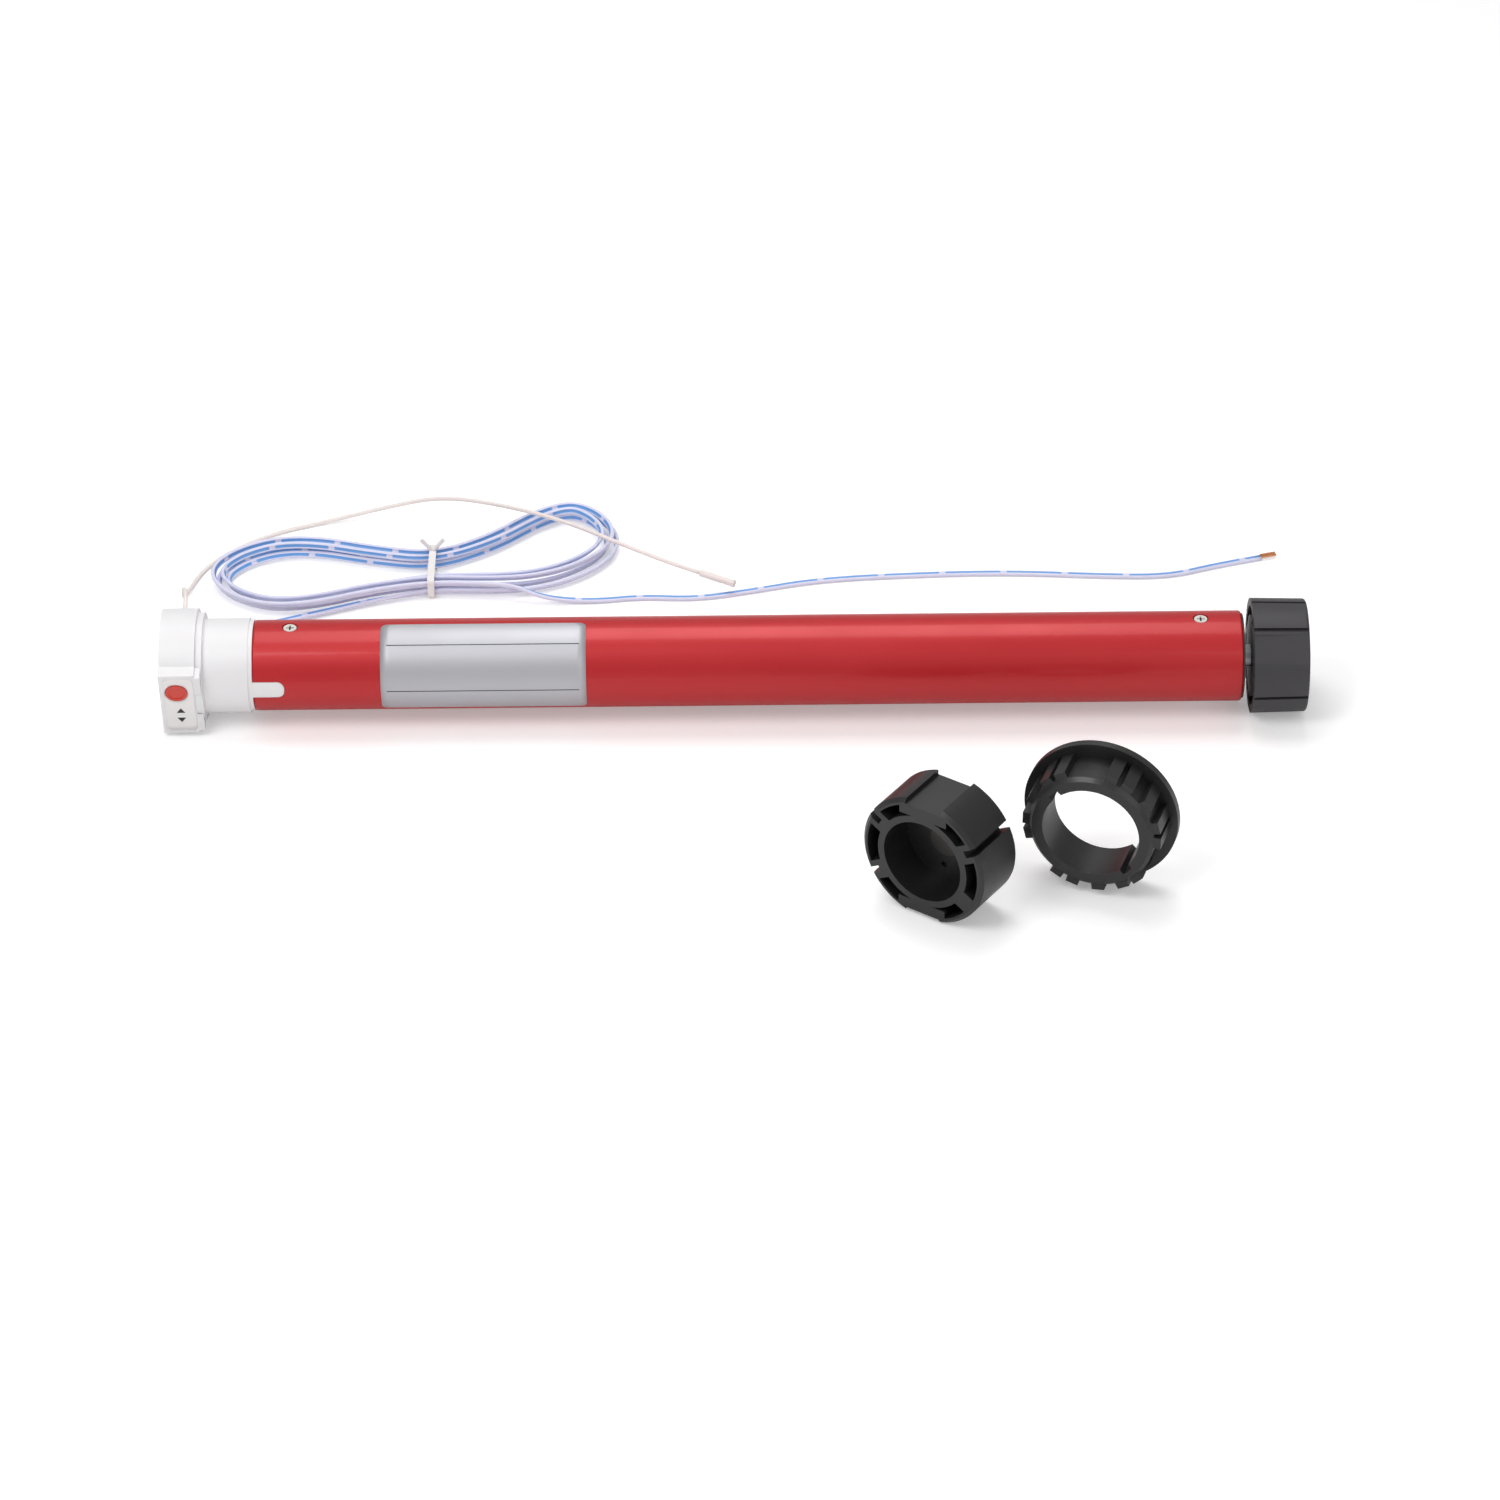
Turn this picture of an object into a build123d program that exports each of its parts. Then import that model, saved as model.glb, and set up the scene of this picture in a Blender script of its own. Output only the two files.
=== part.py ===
from build123d import *
import math
import os

# A tubular motor for a roller blind, lying on a floor with its cord behind it
# and its two spare tube adapters standing in front. Millimetres.
# X runs along the motor's axis from the outer face of the head towards the
# drive wheel, Z is up, and the floor lies one head radius under the axis.

os.makedirs("parts", exist_ok=True)

# Driving dimensions of the whole motor
head_radius = 15.9
head_width = 9.8
flange_width = 1.8
flange_radius = 14.75
barrel_radius = 13.05
barrel_length = 12.4
step_radius = 12.6
step_length = 1.2
tube_radius = 12.5
tube_wall = 1.0
tube_length = 272.0
tube_end_round = 0.7
fit_gap = 0.05
free_gap = 0.3
overrun = 1.0

floor_z = -head_radius
tube_bore_radius = tube_radius - tube_wall
insert_radius = tube_bore_radius - fit_gap
flange_x = head_width
barrel_x = flange_x + flange_width
step_x = barrel_x + barrel_length
tube_x = step_x + step_length
tube_end_x = tube_x + tube_length

# Head: the block with the button, and the bracket socket in the outer face
block_angle = 193.3
block_reach = 14.5
block_half_width = 11.5
block_width = 11.3
block_round = 0.9
block_root_round = 3.0
block_chamfer = 2.2
head_edge_round = 0.6
head_wall = 2.2
head_shell = 1.8
flange_clearance = 0.25
socket_radius = 4.0
socket_depth = 6.6
socket_boss_radius = 6.2
socket_boss_length = 6.0
key_way_width = 1.6
key_way_reach = 5.2
bracket_hole_radius = 1.25
bracket_hole_depth = 5.0
bracket_hole_pitch_radius = 10.4
bracket_boss_radius = 2.5
bracket_boss_length = 4.2

# Button and its switch
button_radius = 3.0
button_gap = 0.1
button_proud = 0.3
button_travel = 0.5
button_x = 4.6
button_offset = 4.8
button_skirt_radius = 3.4
button_skirt_thickness = 0.7
button_dish_radius = 2.2
button_dish_depth = 0.15
block_face_wall = 1.5
switch_side = 5.4
switch_height = 2.6
switch_stem_radius = 1.4
switch_stem_height = 0.8
switch_gap = 0.1

# Spigot, tongue and screws that hold the head in the tube
spigot_length = 18.0
spigot_bore_radius = 9.5
tongue_length = 8.7
tongue_width = 4.9
tongue_round = 2.0
tongue_gap = 0.1
screw_inset = 10.2
gearbox_screw_inset = 11.4
screw_head_radius = 1.8
screw_head_height = 0.8
screw_shank_radius = 1.0
screw_shank_length = 2.0
screw_hole_radius = 2.1
screw_sink = 0.1
recess_length = 2.2
recess_width = 0.5
recess_depth = 0.5

# Boards inside
board_thickness = 1.2
board_width = 18.0
board_start_inset = 3.0
board_length = 112.0
chip_height = 2.0
relay_height = 4.0
radio_board_width = 12.0
radio_board_length = 24.0
radio_stand_height = 3.0

driver_place_share = 0.62
relay_place_share = 0.46
radio_place_share = 0.24
chip_side_share = 0.5
relay_side_share = 0.55

# Motor
can_radius = 11.0
can_wall = 0.8
can_length = 57.0
bell_length = 7.0
bell_lip = 3.0
motor_boss_radius = 4.0
motor_boss_length = 2.0
shaft_radius = 1.15
bush_radius = 2.9
bush_length = 2.6
core_radius = 7.0
core_length = 30.0
core_setback = 13.0
core_slots = 5
core_slot_width = 2.2
core_slot_depth = 3.4
magnet_gap = 0.6
magnet_arc = 126.0
magnet_length = 28.0
winding_gap = 0.15
winding_overhang = 3.2
winding_end_radius = 5.9
commutator_radius = 2.7
commutator_length = 5.0
brush_width = 2.4
brush_height = 3.0
brush_length = 3.0
brush_holder_wall = 0.7
terminal_width = 2.0
terminal_thickness = 0.5
terminal_length = 5.0
terminal_offset = 7.4
encoder_radius = 5.0
encoder_length = 2.6
adapter_plate_length = 4.0

# Planetary gear train: three equal stages
module = 0.4
sun_teeth = 12
planet_teeth = 18
ring_teeth = sun_teeth + 2 * planet_teeth
planets_per_stage = 3
flank_pieces = 3
pressure_angle = 20.0
addendum = 0.34
dedendum = 0.5
backlash = 0.07
stage_widths = (6.0, 6.0, 8.0)
stage_gap = 0.4
carrier_thickness = 2.6
carrier_radius = 8.8
pin_radius = 0.9
pin_gap = 0.05
ring_wall_radius = 11.3
planet_orbit = module * (sun_teeth + planet_teeth) / 2

# Output
plug_length = 20.8
plug_collar = 0.45
plug_collar_radius = 11.7
output_radius = 3.0
output_flat = 2.5
output_bush_radius = 5.0
output_bush_length = 4.0
output_bush_gap = 0.04
clip_radius = 4.6
clip_thickness = 0.7
clip_groove_depth = 0.4

# Drive wheel on the shaft
wheel_gap = 2.7
wheel_width = 15.2
wheel_radius = 15.9
wheel_taper_angle = 1.2
wheel_groove_angles = (79.0, 120.0, 195.0)
wheel_flat_angle = 141.0
wheel_shell = 2.2
wheel_cup_wall = 1.6
wheel_edge_round = 0.8
wheel_groove_width = 1.1
wheel_groove_depth = 1.3
wheel_channel_width = 8.4
wheel_channel_depth = 0.9
wheel_cup_radius = 9.6
wheel_cup_depth = 9.0
wheel_screw_head_radius = 2.7
wheel_screw_head_height = 1.6
wheel_screw_radius = 1.25
wheel_screw_length = 6.0

# Loose drive adapter and crown ring
adapter_radius = 18.8
adapter_depth = 16.0
adapter_turn = 35.0
adapter_x = 206.2
adapter_y = -98.0
adapter_lobe_wall = 1.7
adapter_cup_radius = 13.8
adapter_cup_wall = 1.9
adapter_cup_depth = 11.0
adapter_floor = 3.0
adapter_slot_width = 2.0
adapter_slot_depth = 3.6
adapter_channel_width = 11.0
adapter_channel_depth = 2.2
adapter_rib = 1.8
adapter_dimple_radius = 0.9
adapter_dimple_orbit = 7.4
adapter_lead_in = 1.0
insert_outer_radius = 4.4
insert_length = 9.0
crown_radius = 21.0
crown_flange_width = 2.2
crown_teeth_radius = 18.8
crown_depth = 12.4
crown_root_radius = 17.0
crown_turn = 19.0
crown_x = 250.6
crown_y = -90.0
crown_gap = 0.15
crown_notch_width = 3.2
crown_notch_depth = 1.4
crown_tooth_width = 3.4
crown_nose_chamfer = 1.0
crown_tooth_pairs = 6
crown_pair_angle = 7.0
crown_pair_half_angle = 7.5
crown_single_angles = (37.0, 157.0, 277.0)
crown_notch_angle = 136.0

# Cord and aerial
cord_width = 2.1
cord_radius = cord_width / 2
aerial_radius = 0.6
sleeve_radius = 1.0
sleeve_length = 11.0
conductor_radius = 0.35
conductor_length = 4.5
grommet_radius = 2.4
grommet_length = 2.0
bend_share = 0.45
cord_straight = 9.0
aerial_straight = 8.0
hank_lift = 0.9
hank_loops = 4
hank_step = 2.95
hank_layer_gap = 0.62
hank_waist_x = 70.8
hank_waist_y = 66.0
hank_left_length = 64.0
hank_right_length = 54.0
hank_waist_half = 8.2
hank_left_half = 27.0
hank_right_half = 30.0
hank_left_bend = -1.5
hank_right_bend = 16.5
hank_start_angle = 256.0
hank_end_angle = 284.0
hank_points_per_turn = 12
hank_widest_share = 0.85
tie_width = 2.0
tie_thickness = 0.5
tie_gap = 0.35
tie_tail_length = 5.0
tie_tail_radius = 0.6
tie_tail_lean = 40.0
tie_tail_place = 6.0
cord_exit_x = 5.6
cord_exit_angle = -22.0
aerial_exit_x = 5.0
aerial_exit_angle = 24.0


def rod(x, length, outer, inner=0.0, plane=Plane.YZ):
    """A round bar or tube along X, from x, with an outer and an inner radius."""
    with BuildPart() as made:
        with BuildSketch(plane.offset(x)):
            Circle(outer)
            if inner > 0:
                Circle(inner, mode=Mode.SUBTRACT)
        extrude(amount=length)
    return made.part


def save(part, name):
    """Labels a piece and writes its file."""
    part.label = name
    export_step(part, "parts/" + name + ".step")


# Where the cord and the aerial leave the back of the head, square to it
cord_plane = Plane(
    origin=(cord_exit_x, head_radius * math.cos(math.radians(cord_exit_angle)),
            head_radius * math.sin(math.radians(cord_exit_angle))),
    x_dir=(1, 0, 0),
    z_dir=(0, math.cos(math.radians(cord_exit_angle)), math.sin(math.radians(cord_exit_angle))),
)
aerial_plane = Plane(
    origin=(aerial_exit_x, head_radius * math.cos(math.radians(aerial_exit_angle)),
            head_radius * math.sin(math.radians(aerial_exit_angle))),
    x_dir=(1, 0, 0),
    z_dir=(0, math.cos(math.radians(aerial_exit_angle)), math.sin(math.radians(aerial_exit_angle))),
)

# Routes of the free stretches, chosen by hand along the floor
cord_lead_points = [
    (6.6, 31.0, -14.0),
    (13.0, 38.6, -14.6),
    (25.0, 42.6, -14.35),
]
cord_tail_points = [
    (103.0, 53.6, -13.6),
    (117.0, 53.4, -14.85),
    (131.0, 55.6, -14.85),
    (146.0, 54.2, -14.85),
    (161.0, 57.6, -14.85),
    (181.0, 63.4, -14.85),
    (208.0, 65.6, -14.85),
    (236.0, 66.4, -14.85),
    (262.0, 64.2, -14.85),
    (282.0, 63.4, -14.85),
    (297.0, 69.4, -14.85),
    (309.5, 73.0, -14.85),
]
aerial_points = [
    (3.2, 32.0, 5.0),
    (1.2, 46.0, -8.0),
    (0.6, 60.0, -15.2),
    (6.0, 76.0, -15.3),
    (22.0, 90.5, -15.3),
    (40.0, 97.5, -15.2),
    (58.0, 101.0, -12.4),
    (73.0, 99.0, -8.2),
    (92.0, 91.0, -6.6),
    (110.0, 82.0, -6.8),
    (126.0, 73.5, -9.4),
    (140.0, 66.5, -11.4),
    (148.0, 62.0, -11.6),
]

# Head end cap: a disc and a flat-faced block, hollow towards the barrel
block_turn = math.radians(block_angle)
block_normal = Vector(0, math.cos(block_turn), math.sin(block_turn))
block_along = Vector(0, -math.sin(block_turn), math.cos(block_turn))
face_plane = Plane(
    origin=Vector(button_x, 0, 0) + block_normal * block_reach - block_along * button_offset,
    x_dir=Vector(1, 0, 0),
    z_dir=block_normal,
)
block_centre = (block_reach / 2 * math.cos(block_turn), block_reach / 2 * math.sin(block_turn))
cavity_reach = block_reach - block_face_wall
cavity_centre = (cavity_reach / 2 * math.cos(block_turn), cavity_reach / 2 * math.sin(block_turn))
cavity_half_width = block_half_width - head_shell
past_face = block_reach + head_radius / 2
past_face_centre = (past_face * math.cos(block_turn), past_face * math.sin(block_turn))
past_cavity = cavity_reach + head_radius / 2
past_cavity_centre = (past_cavity * math.cos(block_turn), past_cavity * math.sin(block_turn))
switch_top = block_face_wall + fit_gap + button_skirt_thickness + button_travel + switch_gap
button_pocket_half = button_skirt_radius + 2 * button_gap
button_pocket_depth = switch_top + switch_stem_height + switch_height + fit_gap - block_face_wall

with BuildPart() as head_end_cap:
    with BuildSketch(Plane.YZ) as head_outline:
        Circle(head_radius)
        with Locations(block_centre):
            Rectangle(block_reach, 2 * block_half_width, rotation=block_angle)
        roots = [
            v for v in head_outline.vertices()
            if abs(math.hypot(v.Y, v.Z) - head_radius) < fit_gap
            and v.Y * block_normal.Y + v.Z * block_normal.Z > 0
        ]
        fillet(roots, radius=block_root_round)
        corners = [v for v in head_outline.vertices() if math.hypot(v.Y, v.Z) > head_radius + block_round]
        fillet(corners, radius=block_round)
        with Locations(past_face_centre):
            Rectangle(head_radius, 2 * head_radius, rotation=block_angle, mode=Mode.SUBTRACT)
    extrude(amount=head_width)
    with BuildSketch(Plane.YZ.offset(head_width)):
        with Locations(block_centre):
            Rectangle(block_reach, 2 * (block_half_width - block_round), rotation=block_angle)
        Circle(flange_radius + flange_clearance, mode=Mode.SUBTRACT)
    extrude(amount=block_width - head_width)
    with BuildSketch(Plane.YZ.offset(head_wall)):
        Circle(head_radius - head_shell)
        with Locations(past_cavity_centre):
            Rectangle(head_radius, 2 * head_radius, rotation=block_angle, mode=Mode.SUBTRACT)
        with Locations(cavity_centre):
            Rectangle(cavity_reach, 2 * cavity_half_width, rotation=block_angle)
    extrude(amount=head_width - head_wall, mode=Mode.SUBTRACT)
    with BuildSketch(Plane.YZ.offset(head_wall)):
        Circle(socket_boss_radius)
    extrude(amount=socket_boss_length)
    with BuildSketch(Plane.YZ.offset(head_wall)):
        with PolarLocations(bracket_hole_pitch_radius, 2, start_angle=90):
            Circle(bracket_boss_radius)
    extrude(amount=bracket_boss_length)
    with BuildSketch(Plane.YZ):
        Circle(socket_radius)
        Rectangle(key_way_width, 2 * key_way_reach)
    extrude(amount=socket_depth, mode=Mode.SUBTRACT)
    with BuildSketch(Plane.YZ):
        with PolarLocations(bracket_hole_pitch_radius, 2, start_angle=90):
            Circle(bracket_hole_radius)
    extrude(amount=bracket_hole_depth, mode=Mode.SUBTRACT)
    with BuildSketch(face_plane.offset(overrun)):
        Circle(button_radius + button_gap)
    extrude(amount=-(block_face_wall + 2 * overrun), mode=Mode.SUBTRACT)
    with BuildSketch(face_plane.offset(-block_face_wall)):
        Rectangle(2 * button_pocket_half, 2 * button_pocket_half)
    extrude(amount=-button_pocket_depth, mode=Mode.SUBTRACT)
    with BuildSketch(cord_plane):
        Circle(cord_radius)
    extrude(amount=-(head_shell + overrun), mode=Mode.SUBTRACT)
    with BuildSketch(aerial_plane):
        Circle(aerial_radius)
    extrude(amount=-(head_shell + overrun), mode=Mode.SUBTRACT)
save(head_end_cap.part, "head_end_cap")

# Button: a round cap with a skirt that keeps it in, dished on its face
with BuildPart() as set_button:
    with BuildSketch(face_plane.offset(button_proud)):
        Circle(button_radius)
    extrude(amount=-(button_proud + block_face_wall + fit_gap))
    with BuildSketch(face_plane.offset(-(block_face_wall + fit_gap))):
        Circle(button_skirt_radius)
    extrude(amount=-button_skirt_thickness)
    with BuildSketch(face_plane.offset(button_proud)):
        Circle(button_dish_radius)
    extrude(amount=-button_dish_depth, mode=Mode.SUBTRACT)
save(set_button.part, "set_button")

# Push switch under the button, clear of it over its travel
with BuildPart() as push_switch:
    with BuildSketch(face_plane.offset(-switch_top)):
        Circle(switch_stem_radius)
    extrude(amount=-switch_stem_height)
    with BuildSketch(face_plane.offset(-(switch_top + switch_stem_height))):
        Rectangle(switch_side, switch_side)
    extrude(amount=-switch_height)
save(push_switch.part, "push_switch")

# Grommets: collars on the back of the head where the cord and the aerial leave
for name, plane, hole, outer in (
    ("cord_grommet", cord_plane, cord_radius, grommet_radius),
    ("aerial_grommet", aerial_plane, aerial_radius, grommet_radius / 2 + aerial_radius / 2),
):
    with BuildPart() as grommet:
        with BuildSketch(plane):
            Circle(outer)
            Circle(hole, mode=Mode.SUBTRACT)
        extrude(amount=grommet_length)
    save(grommet.part, name)

# Head barrel: flange, seat for the crown ring, spigot in the tube and key tongue
with BuildPart() as head_barrel:
    with BuildSketch(Plane.XZ):
        with BuildLine():
            Polyline(
                (flange_x, spigot_bore_radius),
                (flange_x, flange_radius),
                (barrel_x, flange_radius),
                (barrel_x, barrel_radius),
                (step_x, barrel_radius),
                (step_x, step_radius),
                (tube_x, step_radius),
                (tube_x, insert_radius),
                (tube_x + spigot_length, insert_radius),
                (tube_x + spigot_length, spigot_bore_radius),
                close=True,
            )
        make_face()
    revolve(axis=Axis.X)
    with BuildSketch(Plane.XZ.offset(spigot_bore_radius + fit_gap)):
        with Locations((tube_x + tongue_length / 2, 0)):
            tongue_outline = Rectangle(tongue_length, tongue_width)
        tongue_ends = tongue_outline.vertices().group_by(Axis.X)[-1]
        fillet(tongue_ends, radius=tongue_round)
    extrude(amount=tube_radius - spigot_bore_radius + overrun)
    with BuildSketch(Plane.YZ.offset(tube_x)):
        Circle(tube_radius + 2 * overrun)
        Circle(tube_radius, mode=Mode.SUBTRACT)
    extrude(amount=tongue_length + overrun, mode=Mode.SUBTRACT)
    with BuildSketch(Plane.XY.offset(-tube_radius)):
        with Locations((tube_x + screw_inset, 0)):
            Circle(screw_shank_radius)
    extrude(amount=2 * tube_radius, mode=Mode.SUBTRACT)
save(head_barrel.part, "head_barrel")

# Motor tube with its key slot and the holes for two pairs of screws
with BuildPart() as motor_tube:
    with BuildSketch(Plane.YZ.offset(tube_x)):
        Circle(tube_radius)
        Circle(tube_bore_radius, mode=Mode.SUBTRACT)
    extrude(amount=tube_length)
    rims = motor_tube.edges().filter_by(GeomType.CIRCLE).group_by(SortBy.RADIUS)[-1]
    fillet(rims, radius=tube_end_round)
    with BuildSketch(Plane.XZ.offset(spigot_bore_radius)):
        with Locations((tube_x + (tongue_length - overrun) / 2, 0)):
            slot_outline = Rectangle(tongue_length + overrun + 2 * tongue_gap, tongue_width + 2 * tongue_gap)
        slot_ends = slot_outline.vertices().group_by(Axis.X)[-1]
        fillet(slot_ends, radius=tongue_round + tongue_gap)
    extrude(amount=tube_radius, mode=Mode.SUBTRACT)
    with BuildSketch(Plane.XY.offset(-tube_radius - overrun)):
        with Locations((tube_x + screw_inset, 0), (tube_end_x - gearbox_screw_inset, 0)):
            Circle(screw_hole_radius)
    extrude(amount=2 * (tube_radius + overrun), mode=Mode.SUBTRACT)
save(motor_tube.part, "motor_tube")

# Cross-recess screws, two opposite each other at each end
for name, screw_x in (
    ("head_screws", tube_x + screw_inset),
    ("gearbox_screws", tube_end_x - gearbox_screw_inset),
):
    with BuildPart() as screws:
        for side in (1, -1):
            seat = Plane(origin=(screw_x, 0, side * insert_radius), x_dir=(1, 0, 0), z_dir=(0, 0, side))
            with BuildSketch(seat):
                Circle(screw_head_radius)
            extrude(amount=screw_head_height)
            with BuildSketch(seat):
                Circle(screw_shank_radius)
            extrude(amount=-screw_shank_length)
            with BuildSketch(seat.offset(screw_head_height)):
                Rectangle(recess_length, recess_width)
                Rectangle(recess_width, recess_length)
            extrude(amount=-recess_depth, mode=Mode.SUBTRACT)
    save(screws.part, name)

# Boards: the long one with the limit sensor and driver, the radio on its posts
board_x = tube_x + board_start_inset
board_end_x = board_x + board_length
with BuildPart() as control_board:
    with BuildSketch(Plane.XY.offset(-board_thickness / 2)):
        with Locations((board_x + board_length / 2, 0)):
            Rectangle(board_length, board_width)
    extrude(amount=board_thickness)
    with BuildSketch(Plane.XY.offset(board_thickness / 2)):
        with Locations((board_x + board_length * driver_place_share, 0)):
            Rectangle(board_width * chip_side_share, board_width * chip_side_share)
        with Locations((board_end_x - chip_height, 0)):
            Rectangle(chip_height, 2 * chip_height)
    extrude(amount=chip_height)
    with BuildSketch(Plane.XY.offset(board_thickness / 2)):
        with Locations((board_x + board_length * relay_place_share, 0)):
            Rectangle(relay_height * 2, board_width * relay_side_share)
    extrude(amount=relay_height)
    with BuildSketch(Plane.XY.offset(board_thickness / 2)):
        with Locations((board_x + board_length * radio_place_share, 0)):
            with GridLocations(
                radio_board_length - radio_stand_height, radio_board_width - radio_stand_height, 2, 2
            ):
                Circle(terminal_thickness)
    extrude(amount=radio_stand_height)
save(control_board.part, "control_board")

with BuildPart() as radio_board:
    with BuildSketch(Plane.XY.offset(board_thickness / 2 + radio_stand_height)):
        with Locations((board_x + board_length * radio_place_share, 0)):
            Rectangle(radio_board_length, radio_board_width)
    extrude(amount=board_thickness)
    with BuildSketch(Plane.XY.offset(3 * board_thickness / 2 + radio_stand_height)):
        with Locations((board_x + board_length * radio_place_share, 0)):
            Rectangle(radio_board_width * chip_side_share, radio_board_width * chip_side_share)
    extrude(amount=board_thickness)
save(radio_board.part, "radio_board")

# Gearbox places along the axis, worked back from the plug at the tube's end
plug_x = tube_end_x - plug_length
stage_x = []
stage_end = plug_x - 2 * stage_gap - clip_thickness
for width in reversed(stage_widths):
    carrier_x = stage_end - carrier_thickness
    planet_x = carrier_x - stage_gap - width
    stage_x.insert(0, (planet_x, carrier_x))
    stage_end = planet_x - 2 * stage_gap
ring_x = stage_end - stage_gap
ring_length = plug_x - ring_x
adapter_plate_x = ring_x - adapter_plate_length
can_x = adapter_plate_x - can_length
bell_x = can_x - bell_length + bell_lip
sun_end_x = stage_x[0][0] + stage_widths[0]


def involute(base, radius):
    """The angle by which an involute has turned away from its base point at a radius."""
    roll = math.sqrt(max(radius * radius / (base * base) - 1, 0))
    return roll - math.atan(roll)


def gear_outline(teeth, tip, root, thinned, phase):
    """Points round a spur gear's teeth, with flanks in three straight pieces."""
    pitch = module * teeth / 2
    base = pitch * math.cos(math.radians(pressure_angle))
    half = math.pi / (2 * teeth) - thinned / (2 * pitch) + involute(base, pitch)
    start = max(root, base)
    radii = [start + (tip - start) * step / flank_pieces for step in range(flank_pieces + 1)]
    points = []
    for tooth in range(teeth):
        middle = phase + 2 * math.pi * tooth / teeth
        left = [(r, middle - half + involute(base, r)) for r in radii]
        right = [(r, middle + half - involute(base, r)) for r in reversed(radii)]
        if root < base:
            left.insert(0, (root, left[0][1]))
            right.append((root, right[-1][1]))
        points += [(r * math.cos(a), r * math.sin(a)) for r, a in left + right]
    return points


# Rotor shaft with the first sun gear, and everything else that turns with it
bush_x = bell_x - bush_length / 2
encoder_x = bell_x - motor_boss_length - stage_gap - encoder_length
with BuildPart() as rotor_shaft:
    with BuildSketch(Plane.YZ.offset(encoder_x)):
        Circle(shaft_radius)
    extrude(amount=sun_end_x - encoder_x)
save(rotor_shaft.part, "rotor_shaft")

save(rod(encoder_x, encoder_length, encoder_radius, shaft_radius), "encoder_magnet")

sun_pitch = module * sun_teeth / 2
with BuildPart() as sun_gear_1:
    with BuildSketch(Plane.YZ.offset(stage_x[0][0])):
        Polygon(*gear_outline(sun_teeth, sun_pitch + addendum, sun_pitch - dedendum, backlash, 0), align=None)
        Circle(shaft_radius, mode=Mode.SUBTRACT)
    extrude(amount=stage_widths[0])
save(sun_gear_1.part, "sun_gear_1")

core_x = can_x + core_setback
with BuildPart() as rotor_core:
    with BuildSketch(Plane.YZ.offset(core_x)):
        Circle(core_radius)
        Circle(shaft_radius, mode=Mode.SUBTRACT)
        with PolarLocations(core_radius - core_slot_depth / 2, core_slots):
            Rectangle(core_slot_depth + fit_gap, core_slot_width, mode=Mode.SUBTRACT)
    extrude(amount=core_length)
save(rotor_core.part, "rotor_core")

with BuildPart() as rotor_windings:
    with BuildSketch(Plane.YZ.offset(core_x - winding_overhang)):
        with PolarLocations(core_radius - core_slot_depth / 2 - winding_gap, core_slots):
            Rectangle(core_slot_depth - 2 * winding_gap, core_slot_width - 2 * winding_gap)
    extrude(amount=core_length + 2 * winding_overhang)
    for end_x in (core_x - winding_overhang, core_x + core_length + winding_gap):
        with BuildSketch(Plane.YZ.offset(end_x)):
            Circle(winding_end_radius)
            Circle(commutator_radius + winding_gap, mode=Mode.SUBTRACT)
        extrude(amount=winding_overhang - winding_gap)
save(rotor_windings.part, "rotor_windings")

commutator_x = core_x - winding_overhang - stage_gap - commutator_length
with BuildPart() as commutator:
    with BuildSketch(Plane.YZ.offset(commutator_x)):
        Circle(commutator_radius)
        Circle(shaft_radius, mode=Mode.SUBTRACT)
        with PolarLocations(commutator_radius, core_slots):
            Rectangle(stage_gap, stage_gap / 2, mode=Mode.SUBTRACT)
    extrude(amount=commutator_length)
save(commutator.part, "commutator")

# Motor can, magnets, end bell with brush holders, brushes, terminals and bushes
with BuildPart() as motor_can:
    with BuildSketch(Plane.YZ.offset(can_x)):
        Circle(can_radius)
        Circle(can_radius - can_wall, mode=Mode.SUBTRACT)
    extrude(amount=can_length)
    with BuildSketch(Plane.YZ.offset(can_x + can_length - can_wall)):
        Circle(can_radius - can_wall)
        Circle(bush_radius, mode=Mode.SUBTRACT)
    extrude(amount=can_wall)
save(motor_can.part, "motor_can")

magnet_inner = core_radius + magnet_gap
magnet_outer = can_radius - can_wall
magnet_x = core_x + (core_length - magnet_length) / 2
with BuildPart() as field_magnets:
    with BuildSketch(Plane.YZ.offset(magnet_x)):
        Circle(magnet_outer)
        Circle(magnet_inner, mode=Mode.SUBTRACT)
        with PolarLocations(0, 2):
            with BuildLine(mode=Mode.PRIVATE) as wedge_lines:
                wedge_tip = magnet_outer + overrun
                wedge_half = math.radians(180 - magnet_arc) / 2
                Polyline(
                    (0, 0),
                    (wedge_tip, -wedge_tip * math.tan(wedge_half)),
                    (wedge_tip, wedge_tip * math.tan(wedge_half)),
                    close=True,
                )
            add(make_face(wedge_lines.edges(), mode=Mode.PRIVATE), mode=Mode.SUBTRACT)
    extrude(amount=magnet_length)
save(field_magnets.part, "field_magnets")

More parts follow.
